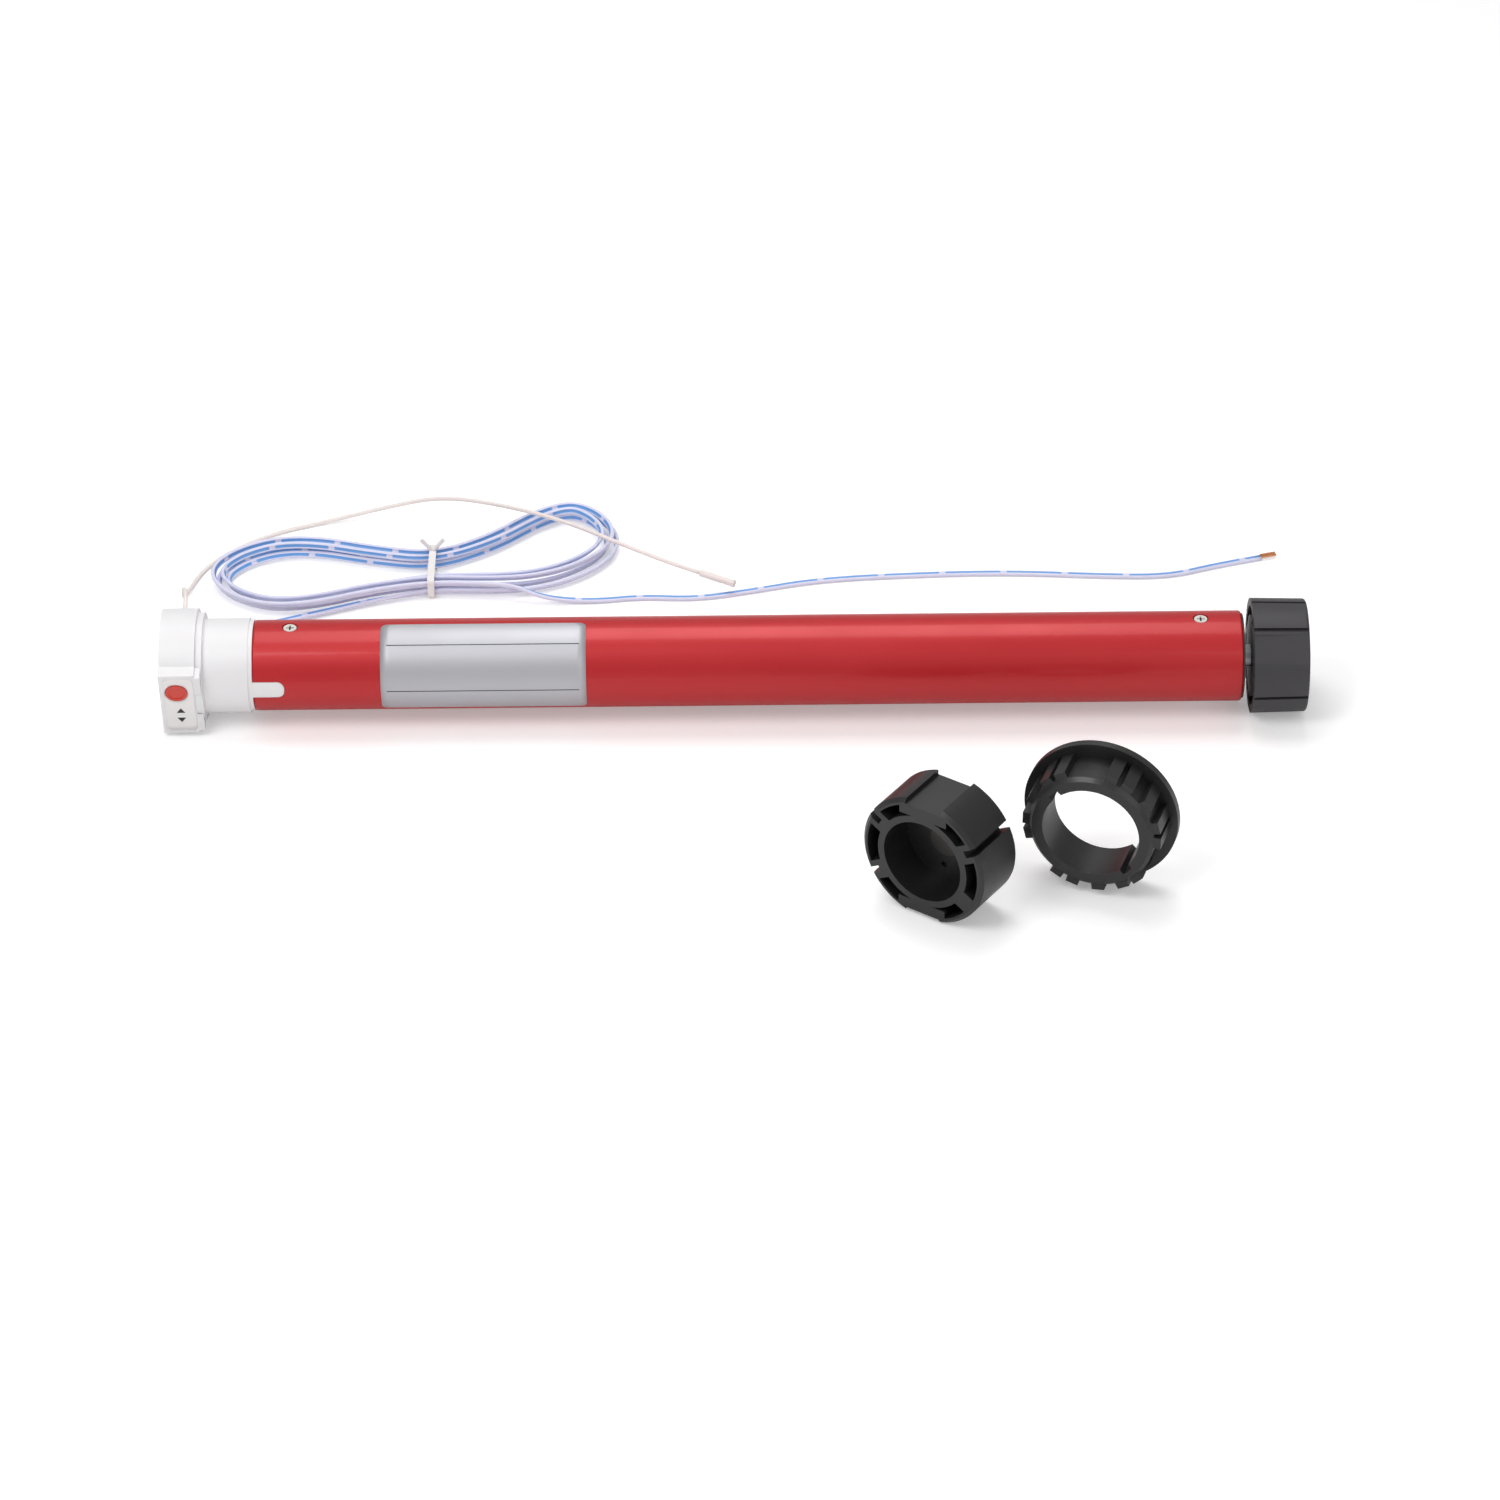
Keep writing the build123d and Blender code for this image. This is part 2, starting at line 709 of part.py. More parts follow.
holder_side = brush_width + 2 * brush_holder_wall
holder_middle = commutator_radius + fit_gap + brush_length / 2
with BuildPart() as motor_end_bell:
    with BuildSketch(Plane.YZ.offset(bell_x)):
        Circle(can_radius)
        Circle(bush_radius, mode=Mode.SUBTRACT)
    extrude(amount=can_x - bell_x)
    with BuildSketch(Plane.YZ.offset(can_x)):
        Circle(can_radius - can_wall)
        Circle(bush_radius, mode=Mode.SUBTRACT)
    extrude(amount=bell_lip)
    with BuildSketch(Plane.YZ.offset(can_x + bell_lip)):
        with Locations((holder_middle + brush_holder_wall, 0), (-holder_middle - brush_holder_wall, 0)):
            Rectangle(brush_length, holder_side)
            Rectangle(brush_length + 2 * brush_holder_wall, brush_width, mode=Mode.SUBTRACT)
    extrude(amount=commutator_x + commutator_length - can_x - bell_lip)
    with BuildSketch(Plane.YZ.offset(bell_x - motor_boss_length)):
        Circle(motor_boss_radius)
        Circle(bush_radius, mode=Mode.SUBTRACT)
    extrude(amount=motor_boss_length)
    with BuildSketch(Plane.YZ.offset(bell_x)):
        with Locations((0, terminal_offset), (0, -terminal_offset)):
            Rectangle(terminal_width, terminal_thickness)
    extrude(amount=can_x - bell_x + bell_lip, mode=Mode.SUBTRACT)
save(motor_end_bell.part, "motor_end_bell")

with BuildPart() as brushes:
    with BuildSketch(Plane.YZ.offset(commutator_x + (commutator_length - brush_height) / 2)):
        with Locations((holder_middle, 0), (-holder_middle, 0)):
            Rectangle(brush_length, brush_width)
    extrude(amount=brush_height)
save(brushes.part, "brushes")

with BuildPart() as motor_terminals:
    with BuildSketch(Plane.YZ.offset(bell_x - terminal_length)):
        with Locations((0, terminal_offset), (0, -terminal_offset)):
            Rectangle(terminal_width, terminal_thickness)
    extrude(amount=terminal_length + can_x - bell_x + bell_lip)
save(motor_terminals.part, "motor_terminals")

bush_bore = shaft_radius + output_bush_gap
save(rod(bell_x - motor_boss_length, bush_length, bush_radius, bush_bore), "rear_bush")
save(rod(can_x + can_length - bush_length, bush_length, bush_radius, bush_bore), "front_bush")

# Plate between the motor and the gear train
with BuildPart() as gearbox_plate:
    with BuildSketch(Plane.YZ.offset(adapter_plate_x)):
        Circle(insert_radius)
        Circle(shaft_radius + free_gap, mode=Mode.SUBTRACT)
    extrude(amount=adapter_plate_length)
    chamfer(gearbox_plate.edges().filter_by(GeomType.CIRCLE).group_by(SortBy.RADIUS)[-1], length=free_gap)
save(gearbox_plate.part, "gearbox_plate")

# Ring gear: one long bore that all three stages run in
ring_pitch = module * ring_teeth / 2
ring_phase = math.pi / ring_teeth
with BuildPart() as ring_gear:
    with BuildSketch(Plane.YZ.offset(ring_x)):
        Circle(ring_wall_radius)
        Polygon(
            *gear_outline(ring_teeth, ring_pitch + dedendum, ring_pitch - addendum, -backlash, ring_phase),
            align=None,
            mode=Mode.SUBTRACT,
        )
    extrude(amount=ring_length)
save(ring_gear.part, "ring_gear")

# Three stages: planets on their pins, and a carrier that bears the next sun
planet_pitch = module * planet_teeth / 2
for stage, (planet_x, carrier_x) in enumerate(stage_x):
    width = stage_widths[stage]
    pin_places = [2 * math.pi * k / planets_per_stage for k in range(planets_per_stage)]
    for k, place in enumerate(pin_places):
        turn = place + math.pi + (math.pi + sun_teeth * place) / planet_teeth
        with BuildPart() as planet_gear:
            centre = (planet_orbit * math.cos(place), planet_orbit * math.sin(place))
            with BuildSketch(Plane(origin=(planet_x, *centre), x_dir=(0, 1, 0), z_dir=(1, 0, 0))):
                Polygon(
                    *gear_outline(
                        planet_teeth, planet_pitch + addendum, planet_pitch - dedendum, backlash, turn
                    ),
                    align=None,
                )
                Circle(pin_radius + pin_gap, mode=Mode.SUBTRACT)
            extrude(amount=width)
        save(planet_gear.part, "planet_gear_" + str(stage + 1) + "abc"[k])
    with BuildPart() as pins:
        with BuildSketch(Plane.YZ.offset(planet_x)):
            with PolarLocations(planet_orbit, planets_per_stage):
                Circle(pin_radius)
        extrude(amount=carrier_x + carrier_thickness - planet_x)
    save(pins.part, "planet_pins_" + str(stage + 1))
    last = stage == len(stage_x) - 1
    with BuildPart() as carrier:
        with BuildSketch(Plane.YZ.offset(carrier_x)):
            Circle(carrier_radius)
            with PolarLocations(planet_orbit, planets_per_stage):
                Circle(pin_radius, mode=Mode.SUBTRACT)
            if last:
                Circle(output_radius, mode=Mode.SUBTRACT)
        extrude(amount=carrier_thickness)
        if not last:
            next_x = stage_x[stage + 1][0]
            with BuildSketch(Plane.YZ.offset(carrier_x + carrier_thickness)):
                Circle(sun_pitch - dedendum)
            extrude(amount=next_x - carrier_x - carrier_thickness)
            with BuildSketch(Plane.YZ.offset(next_x)):
                Polygon(
                    *gear_outline(sun_teeth, sun_pitch + addendum, sun_pitch - dedendum, backlash, 0),
                    align=None,
                )
            extrude(amount=stage_widths[stage + 1])
    save(carrier.part, "carrier_" + str(stage + 1))


def flatted(plane, radius, half_flat, length):
    """A round bar with two flats, on a plane, along its normal."""
    with BuildPart() as made:
        with BuildSketch(plane):
            Circle(radius)
            Rectangle(4 * radius, 2 * half_flat, mode=Mode.INTERSECT)
        extrude(amount=length)
    return made.part


# Plug that closes the gearbox, its two bushes, and the output shaft with flats
wheel_x = tube_end_x + wheel_gap
shaft_end_x = wheel_x + wheel_width - wheel_cup_depth
with BuildPart() as end_plug:
    with BuildSketch(Plane.YZ.offset(plug_x)):
        Circle(insert_radius)
        Circle(output_bush_radius, mode=Mode.SUBTRACT)
    extrude(amount=plug_length)
    with BuildSketch(Plane.YZ.offset(tube_end_x)):
        Circle(plug_collar_radius)
        Circle(output_bush_radius, mode=Mode.SUBTRACT)
    extrude(amount=plug_collar)
    with BuildSketch(Plane.XY.offset(-tube_radius)):
        with Locations((tube_end_x - gearbox_screw_inset, 0)):
            Circle(screw_shank_radius)
    extrude(amount=2 * tube_radius, mode=Mode.SUBTRACT)
save(end_plug.part, "end_plug")

output_bore = output_radius + output_bush_gap
save(rod(plug_x, output_bush_length, output_bush_radius, output_bore), "inner_output_bush")
save(
    rod(tube_end_x + plug_collar - output_bush_length, output_bush_length, output_bush_radius, output_bore),
    "outer_output_bush",
)

last_carrier_x = stage_x[-1][1]
clip_x = plug_x - stage_gap - clip_thickness
shaft_flats = flatted(
    Plane.YZ.offset(tube_end_x + plug_collar),
    output_radius,
    output_flat,
    shaft_end_x - tube_end_x - plug_collar,
)
with BuildPart() as output_shaft:
    with BuildSketch(Plane.YZ.offset(last_carrier_x)):
        Circle(output_radius)
    extrude(amount=tube_end_x + plug_collar - last_carrier_x)
    add(shaft_flats)
    with BuildSketch(Plane.YZ.offset(clip_x)):
        Circle(output_radius)
        Circle(output_radius - clip_groove_depth, mode=Mode.SUBTRACT)
    extrude(amount=clip_thickness, mode=Mode.SUBTRACT)
    with BuildSketch(Plane.YZ.offset(shaft_end_x)):
        Circle(wheel_screw_radius)
    extrude(amount=-wheel_screw_length, mode=Mode.SUBTRACT)
save(output_shaft.part, "output_shaft")

with BuildPart() as shaft_clip:
    with BuildSketch(Plane.YZ.offset(clip_x)):
        Circle(clip_radius)
        Circle(output_radius - clip_groove_depth, mode=Mode.SUBTRACT)
        with Locations((clip_radius / 2 + output_radius / 2, 0)):
            Rectangle(clip_radius, output_radius, mode=Mode.SUBTRACT)
    extrude(amount=clip_thickness)
save(shaft_clip.part, "shaft_clip")

# Drive wheel: grooved outside, cupped at its far end, with a flatted bore
wheel_bore = flatted(
    Plane.YZ.offset(wheel_x - overrun), output_radius + fit_gap, output_flat + fit_gap, wheel_width
)
with BuildPart() as drive_wheel:
    with BuildSketch(Plane.YZ.offset(wheel_x)):
        Circle(wheel_radius)
    extrude(amount=wheel_width, taper=wheel_taper_angle)
    far_rim = drive_wheel.edges().filter_by(GeomType.CIRCLE).group_by(Axis.X)[-1]
    fillet(far_rim, radius=wheel_edge_round)
    with BuildSketch(Plane.YZ.offset(wheel_x)):
        for angle in wheel_groove_angles:
            with PolarLocations(wheel_radius, 2, start_angle=angle):
                Rectangle(2 * wheel_groove_depth, wheel_groove_width)
        with PolarLocations(wheel_radius, 2, start_angle=wheel_flat_angle):
            Rectangle(2 * wheel_channel_depth, wheel_channel_width)
    extrude(amount=wheel_width, mode=Mode.SUBTRACT)
    with BuildSketch(Plane.YZ.offset(wheel_x + wheel_width)):
        Circle(wheel_cup_radius)
    extrude(amount=-wheel_cup_depth, mode=Mode.SUBTRACT)
    with BuildSketch(Plane.YZ.offset(wheel_x)):
        Circle(wheel_radius - wheel_shell)
        Circle(wheel_cup_radius + wheel_cup_wall, mode=Mode.SUBTRACT)
        Rectangle(2 * wheel_radius, wheel_cup_wall, mode=Mode.SUBTRACT)
        Rectangle(wheel_cup_wall, 2 * wheel_radius, mode=Mode.SUBTRACT)
    extrude(amount=wheel_width - wheel_shell, mode=Mode.SUBTRACT)
    add(wheel_bore, mode=Mode.SUBTRACT)
save(drive_wheel.part, "drive_wheel")

with BuildPart() as wheel_screw:
    with BuildSketch(Plane.YZ.offset(shaft_end_x + fit_gap)):
        Circle(wheel_screw_head_radius + output_radius / 2)
    extrude(amount=wheel_screw_head_height)
    with BuildSketch(Plane.YZ.offset(shaft_end_x + fit_gap)):
        Circle(wheel_screw_radius)
    extrude(amount=-wheel_screw_length)
    with BuildSketch(Plane.YZ.offset(shaft_end_x + fit_gap + wheel_screw_head_height)):
        Rectangle(wheel_screw_head_radius, recess_width)
        Rectangle(recess_width, wheel_screw_head_radius)
    extrude(amount=-recess_depth, mode=Mode.SUBTRACT)
save(wheel_screw.part, "wheel_screw")


def standing(x, y, height, turn):
    """The plane of a standing piece's open face, turned to the left about Z."""
    angle = math.radians(turn)
    return Plane(
        origin=(x, y, floor_z + height),
        x_dir=(math.cos(angle), -math.sin(angle), 0),
        z_dir=(-math.sin(angle), -math.cos(angle), 0),
    )


def nosed(plane, radius, length, lead, spare=0.0):
    """A round bar on a plane, chamfered round its far end, a little larger where it trims."""
    with BuildPart() as made:
        with BuildSketch(plane.offset(-spare)):
            Circle(radius + spare)
        extrude(amount=length - lead)
        with BuildSketch(plane.offset(length - lead - spare)):
            Circle(radius + spare)
        with BuildSketch(plane.offset(length + spare)):
            Circle(radius - lead - spare)
        loft(ruled=True)
    return made.part


# Loose drive adapter: six petals round a cup, standing on two petals' edges
adapter_height = math.sqrt(adapter_radius ** 2 - adapter_channel_width ** 2 / 4)
adapter_face = standing(adapter_x, adapter_y, adapter_height, adapter_turn)
adapter_back = adapter_face.offset(-adapter_depth)
channel_bottom = adapter_radius - adapter_slot_depth
slot_block = adapter_slot_width + 2 * adapter_lobe_wall
block_root = adapter_cup_radius - adapter_cup_wall / 2
channel_block = adapter_channel_width + 2 * adapter_lobe_wall
adapter_envelope = nosed(adapter_back, adapter_radius, adapter_depth, adapter_lead_in, overrun)
with BuildPart() as drive_adapter:
    with BuildSketch(adapter_back) as adapter_web:
        Circle(adapter_radius)
    extrude(amount=adapter_floor)
    with BuildSketch(adapter_back):
        Circle(adapter_radius)
        Circle(adapter_radius - adapter_lobe_wall, mode=Mode.SUBTRACT)
        with PolarLocations(adapter_radius / 2 + block_root / 2, 2, start_angle=30):
            Rectangle(adapter_radius - block_root, slot_block)
        with PolarLocations(adapter_radius / 2 + block_root / 2, 2, start_angle=150):
            Rectangle(adapter_radius - block_root, slot_block)
        with PolarLocations(channel_bottom + adapter_channel_depth / 2, 2, start_angle=90):
            Rectangle(adapter_slot_depth + adapter_channel_depth, channel_block)
        with PolarLocations(adapter_radius / 2 + adapter_cup_radius / 2 - adapter_rib, 2, start_angle=90):
            Rectangle(adapter_slot_depth, adapter_rib)
        Circle(adapter_radius, mode=Mode.INTERSECT)
        Circle(adapter_cup_radius)
        Circle(adapter_cup_radius - adapter_cup_wall, mode=Mode.SUBTRACT)
    extrude(amount=adapter_depth)
    with BuildSketch(adapter_back):
        Circle(adapter_cup_radius)
    extrude(amount=adapter_depth - adapter_cup_depth)
    add(adapter_envelope, mode=Mode.INTERSECT)
    with BuildSketch(adapter_back.offset(-overrun)):
        with PolarLocations(adapter_radius, 2, start_angle=30):
            Rectangle(2 * adapter_slot_depth, adapter_slot_width)
        with PolarLocations(adapter_radius, 2, start_angle=150):
            Rectangle(2 * adapter_slot_depth, adapter_slot_width)
    extrude(amount=adapter_depth + 2 * overrun, mode=Mode.SUBTRACT)
    for side in (90, -90):
        with BuildSketch(adapter_back.offset(-overrun)):
            with PolarLocations(adapter_radius, 1, start_angle=side):
                Rectangle(2 * adapter_channel_depth, adapter_channel_width)
        extrude(amount=adapter_depth + 2 * overrun, mode=Mode.SUBTRACT)
    with BuildSketch(adapter_back):
        Circle(insert_outer_radius)
    extrude(amount=adapter_depth, mode=Mode.SUBTRACT)
    with BuildSketch(adapter_face.offset(-adapter_cup_depth)):
        with PolarLocations(adapter_dimple_orbit, 2, start_angle=90):
            Circle(adapter_dimple_radius)
    extrude(amount=-adapter_dimple_radius, mode=Mode.SUBTRACT)
save(drive_adapter.part, "drive_adapter")

insert_bore = flatted(
    adapter_back.rotated((0, 0, 90)).offset(-overrun),
    output_radius + fit_gap,
    output_flat + fit_gap,
    adapter_depth,
)
with BuildPart() as adapter_insert:
    with BuildSketch(adapter_back):
        Circle(insert_outer_radius)
    extrude(amount=adapter_depth - adapter_cup_depth)
    add(insert_bore, mode=Mode.SUBTRACT)
save(adapter_insert.part, "adapter_insert")

# Loose crown ring: a flange at its back and teeth that grip the roller tube
crown_bore = barrel_radius + crown_gap
crown_face = standing(crown_x, crown_y, crown_radius, crown_turn)
crown_back = crown_face.offset(-crown_depth)
crown_core = nosed(crown_back, crown_root_radius, crown_depth, crown_nose_chamfer)
with BuildPart() as crown_ring:
    with BuildSketch(crown_back):
        Circle(crown_radius)
        Circle(crown_bore, mode=Mode.SUBTRACT)
    extrude(amount=crown_flange_width)
    add(crown_core)
    with BuildSketch(crown_back):
        Circle(crown_bore)
    extrude(amount=crown_depth, mode=Mode.SUBTRACT)
    with BuildSketch(crown_back):
        for lean in (-crown_pair_half_angle, crown_pair_half_angle):
            with PolarLocations(crown_root_radius, crown_tooth_pairs, start_angle=crown_pair_angle + lean):
                Rectangle(2 * (crown_teeth_radius - crown_root_radius), crown_tooth_width)
        for angle in crown_single_angles:
            with PolarLocations(crown_root_radius, 1, start_angle=angle):
                Rectangle(2 * (crown_teeth_radius - crown_root_radius), crown_tooth_width)
        Circle(crown_bore, mode=Mode.SUBTRACT)
    extrude(amount=crown_depth - crown_nose_chamfer)
    with BuildSketch(crown_back):
        with PolarLocations(crown_bore, 2, start_angle=crown_notch_angle):
            Rectangle(2 * crown_notch_depth, crown_notch_width)
    extrude(amount=crown_depth, mode=Mode.SUBTRACT)
save(crown_ring.part, "crown_ring")


# Cord hank: four loops wound in and out again in two layers, tied at the waist
layer_rise = cord_width + hank_layer_gap
hank_low_z = floor_z + hank_lift + cord_radius
hank_turns = hank_loops + (hank_end_angle - hank_start_angle) / 360


def loop_point(angle):
    """A point of the outermost loop, by its angle about the waist, in degrees."""
    cosine, sine = math.cos(math.radians(angle)), math.sin(math.radians(angle))
    length, lobe, bend = (
        (hank_right_length, hank_right_half, hank_right_bend)
        if cosine > 0
        else (hank_left_length, hank_left_half, hank_left_bend)
    )
    swell = min(abs(cosine) / hank_widest_share, 1)
    swell = swell * swell * (3 - 2 * swell)
    half = hank_waist_half + (lobe - hank_waist_half) * swell
    return Vector(hank_waist_x + length * cosine, hank_waist_y + half * sine + bend * swell, 0)


def hank_point(turn):
    """A point of the wound cord after a number of turns: drawn in, then out again a layer up."""
    angle = hank_start_angle + 360 * turn
    ahead = loop_point(angle + 1) - loop_point(angle - 1)
    inward = Vector(-ahead.Y, ahead.X, 0).normalized()
    inset = hank_step * min(turn, hank_turns - turn)
    climb = min(max((turn - hank_turns / 2) * 2 + 1 / 2, 0), 1)
    rise = Vector(0, 0, hank_low_z + layer_rise * climb * climb * (3 - 2 * climb))
    return loop_point(angle) + inward * inset + rise


def hank_heading(turn):
    """The unit direction of the wound cord after a number of turns."""
    step = 1 / 360
    return (hank_point(turn + step) - hank_point(turn - step)).normalized()


def two_arcs(start, heading, end, end_heading):
    """Two tangent arcs that join two points with their directions."""
    both, across = heading + end_heading, end - start
    spare = 2 * (1 - heading.dot(end_heading))
    along = across.dot(both)
    if spare < 1 / 10 ** 6:
        reach = across.dot(across) / (4 * across.dot(heading))
    else:
        reach = (math.sqrt(along * along + spare * across.dot(across)) - along) / spare
    near, far = start + heading * reach, end - end_heading * reach
    middle = (near + far) / 2
    return [TangentArc(start, middle, tangent=heading), TangentArc(middle, end, tangent=far - near)]


hank_first = math.ceil(hank_start_angle * hank_points_per_turn / 360)
hank_last = math.floor((hank_start_angle + 360 * hank_turns) * hank_points_per_turn / 360)
hank_marks = [360 * k / hank_points_per_turn for k in range(hank_first, hank_last + 1)]
hank_places = [0, *[(mark - hank_start_angle) / 360 for mark in hank_marks], hank_turns]
hank_in = hank_point(0) - hank_heading(0) * cord_width
hank_out = hank_point(hank_turns) + hank_heading(hank_turns) * cord_width
with BuildPart() as power_cord_hank:
    with BuildLine() as hank_path:
        Line(hank_in, hank_point(0))
        for here, there in zip(hank_places, hank_places[1:]):
            two_arcs(hank_point(here), hank_heading(here), hank_point(there), hank_heading(there))
        Line(hank_point(hank_turns), hank_out)
    with BuildSketch(Plane(origin=hank_in, z_dir=hank_heading(0))):
        Circle(cord_radius)
    sweep(path=hank_path.wire())
save(power_cord_hank.part, "power_cord_hank")

hank_wire = hank_path.wire()
hank_samples = round(hank_wire.length / (cord_radius * 2))
trail = [hank_wire.position_at(k / hank_samples) for k in range(hank_samples + 1)]
apart = min(
    (trail[i] - trail[j]).length for i in range(len(trail)) for j in range(i + 8, len(trail))
)
print("hank length", round(hank_wire.length, 1), "least gap", round(apart - cord_width, 3))
print("hank volume share", round(power_cord_hank.part.volume / (hank_wire.length * math.pi * cord_radius ** 2), 4))


def laid(name, points, radius):
    """A cord's free stretch through hand-chosen points, with arcs as large as the runs allow."""
    route = [Vector(*point) for point in points]
    radii = []
    for before, corner, after in zip(route, route[1:], route[2:]):
        turn = (corner - before).get_angle(after - corner)
        run = min((corner - before).length, (after - corner).length)
        radii.append(bend_share * run / math.tan(math.radians(turn) / 2))
    print(name, "radii", [round(r, 1) for r in radii])
    with BuildPart() as made:
        with BuildLine() as path:
            FilletPolyline(*route, radius=radii)
        with BuildSketch(Plane(origin=route[0], z_dir=route[1] - route[0])):
            Circle(radius)
        sweep(path=path.wire())
    share = made.part.volume / (path.wire().length * math.pi * radius ** 2)
    print(name, "length", round(path.wire().length, 1), "volume share", round(share, 4))
    save(made.part, name)


lying_z = floor_z + cord_radius
cord_inside = cord_plane.origin - cord_plane.z_dir * head_shell
laid(
    "power_cord_lead",
    [
        tuple(cord_inside),
        tuple(cord_plane.origin + cord_plane.z_dir * cord_straight),
        *cord_lead_points,
        tuple(hank_in - hank_heading(0) * cord_straight),
        tuple(hank_in),
    ],
    cord_radius,
)
laid(
    "power_cord_tail",
    [tuple(hank_out), tuple(hank_out + hank_heading(hank_turns) * cord_straight), *cord_tail_points],
    cord_radius,
)
laid(
    "aerial_wire",
    [
        tuple(aerial_plane.origin - aerial_plane.z_dir * head_shell),
        tuple(aerial_plane.origin + aerial_plane.z_dir * aerial_straight),
        *aerial_points,
    ],
    aerial_radius,
)

# Sleeve on the aerial's end, and the cord's two bared conductors
sleeve_heading = Vector(*aerial_points[-1]) - Vector(*aerial_points[-2])
with BuildPart() as aerial_sleeve:
    with BuildSketch(Plane(origin=aerial_points[-1], z_dir=sleeve_heading)):
        Circle(sleeve_radius)
    extrude(amount=sleeve_length)
save(aerial_sleeve.part, "aerial_sleeve")

tail_heading = Vector(*cord_tail_points[-1]) - Vector(*cord_tail_points[-2])
with BuildPart() as conductor_tips:
    with BuildSketch(Plane(origin=cord_tail_points[-1], x_dir=(0, 0, 1), z_dir=tail_heading)):
        with Locations((0, cord_radius / 2), (0, -cord_radius / 2)):
            Circle(conductor_radius)
    extrude(amount=conductor_length)
save(conductor_tips.part, "conductor_tips")

# Wire tie round the hank's waist, with its two twisted ends standing up
tie_inner_height = cord_width + layer_rise + 2 * tie_gap
tie_inner_half = hank_waist_half + cord_radius + tie_gap
tie_middle_z = hank_low_z + layer_rise / 2
tie_top_z = tie_middle_z + tie_inner_height / 2 + tie_thickness
with BuildPart() as cord_tie:
    with BuildSketch(Plane.YZ.offset(hank_waist_x - tie_width / 2)):
        with Locations((hank_waist_y, tie_middle_z)):
            RectangleRounded(
                2 * (tie_inner_half + tie_thickness),
                tie_inner_height + 2 * tie_thickness,
                cord_radius + tie_thickness,
            )
            RectangleRounded(2 * tie_inner_half, tie_inner_height, cord_radius, mode=Mode.SUBTRACT)
    extrude(amount=tie_width)
    for lean in (-tie_tail_lean, tie_tail_lean):
        tail_plane = Plane(
            origin=(hank_waist_x, hank_waist_y + tie_tail_place, tie_top_z - tie_thickness / 2),
            z_dir=(math.sin(math.radians(lean)), 0, math.cos(math.radians(lean))),
        )
        with BuildSketch(tail_plane):
            Circle(tie_tail_radius)
        extrude(amount=tie_tail_length)
save(cord_tie.part, "cord_tie")
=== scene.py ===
"""A tubular roller blind motor with its cord hank, aerial wire and two loose adapters."""

import logging
import math
from dataclasses import dataclass, field
from enum import Enum

import bpy
import numpy as np
from mathutils import Matrix, Vector


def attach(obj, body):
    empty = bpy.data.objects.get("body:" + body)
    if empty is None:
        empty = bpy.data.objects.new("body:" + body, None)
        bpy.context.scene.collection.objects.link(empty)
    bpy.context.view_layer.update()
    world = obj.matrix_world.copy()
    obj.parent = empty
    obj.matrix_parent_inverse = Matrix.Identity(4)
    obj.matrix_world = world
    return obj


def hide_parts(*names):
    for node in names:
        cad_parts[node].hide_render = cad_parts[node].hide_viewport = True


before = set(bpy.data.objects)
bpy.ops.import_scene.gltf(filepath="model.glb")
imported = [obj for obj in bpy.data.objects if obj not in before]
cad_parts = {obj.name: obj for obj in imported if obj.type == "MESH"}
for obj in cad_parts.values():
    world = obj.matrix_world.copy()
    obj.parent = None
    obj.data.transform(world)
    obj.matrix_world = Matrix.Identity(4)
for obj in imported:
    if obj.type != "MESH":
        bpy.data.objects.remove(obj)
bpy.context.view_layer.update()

MM = 0.001

# How far a laid-on piece stays off the skin, and how far print stands off its ground, in mm
SKIN_GAP = 0.01
PRINT_LIFT = 0.03

log = logging.getLogger("blind_motor")


class Pattern(Enum):
    """How a finish varies over its surface."""

    MOULDED = "moulded"
    LACQUERED = "lacquered"
    BRUSHED = "brushed"
    TURNED = "turned"
    WOUND = "wound"


@dataclass(frozen=True)
class Finish:
    """One surface finish: its colour, gloss and fine relief.

    The variation is how far the colour may go towards the tint. The grain is the relief's scale.
    """

    name: str
    colour: tuple[float, float, float]
    roughness: float = 0.45
    metallic: float = 0.0
    pattern: Pattern = Pattern.MOULDED
    grain: float = 1500.0
    relief: float = 0.06
    variation: float = 0.05
    coat: float = 0.0
    subsurface: float = 0.0
    tint: tuple[float, float, float] | None = None


def new_group(
    name: str, inputs: dict[str, tuple[str, object]], outputs: dict[str, str]
) -> bpy.types.NodeTree:
    """Starts a shader node group with named sockets.

    Args:
        name: the group's name.
        inputs: socket name to its type and default.
        outputs: socket name to its type.

    Returns:
        The node tree, with an input node named "in" and an output node named "out".
    """
    tree = bpy.data.node_groups.new(name, "ShaderNodeTree")
    for label, (kind, default) in inputs.items():
        socket = tree.interface.new_socket(label, in_out="INPUT", socket_type=kind)
        socket.default_value = default
    for label, kind in outputs.items():
        tree.interface.new_socket(label, in_out="OUTPUT", socket_type=kind)
    start, end = tree.nodes.new("NodeGroupInput"), tree.nodes.new("NodeGroupOutput")
    start.name, end.name = "in", "out"
    return tree


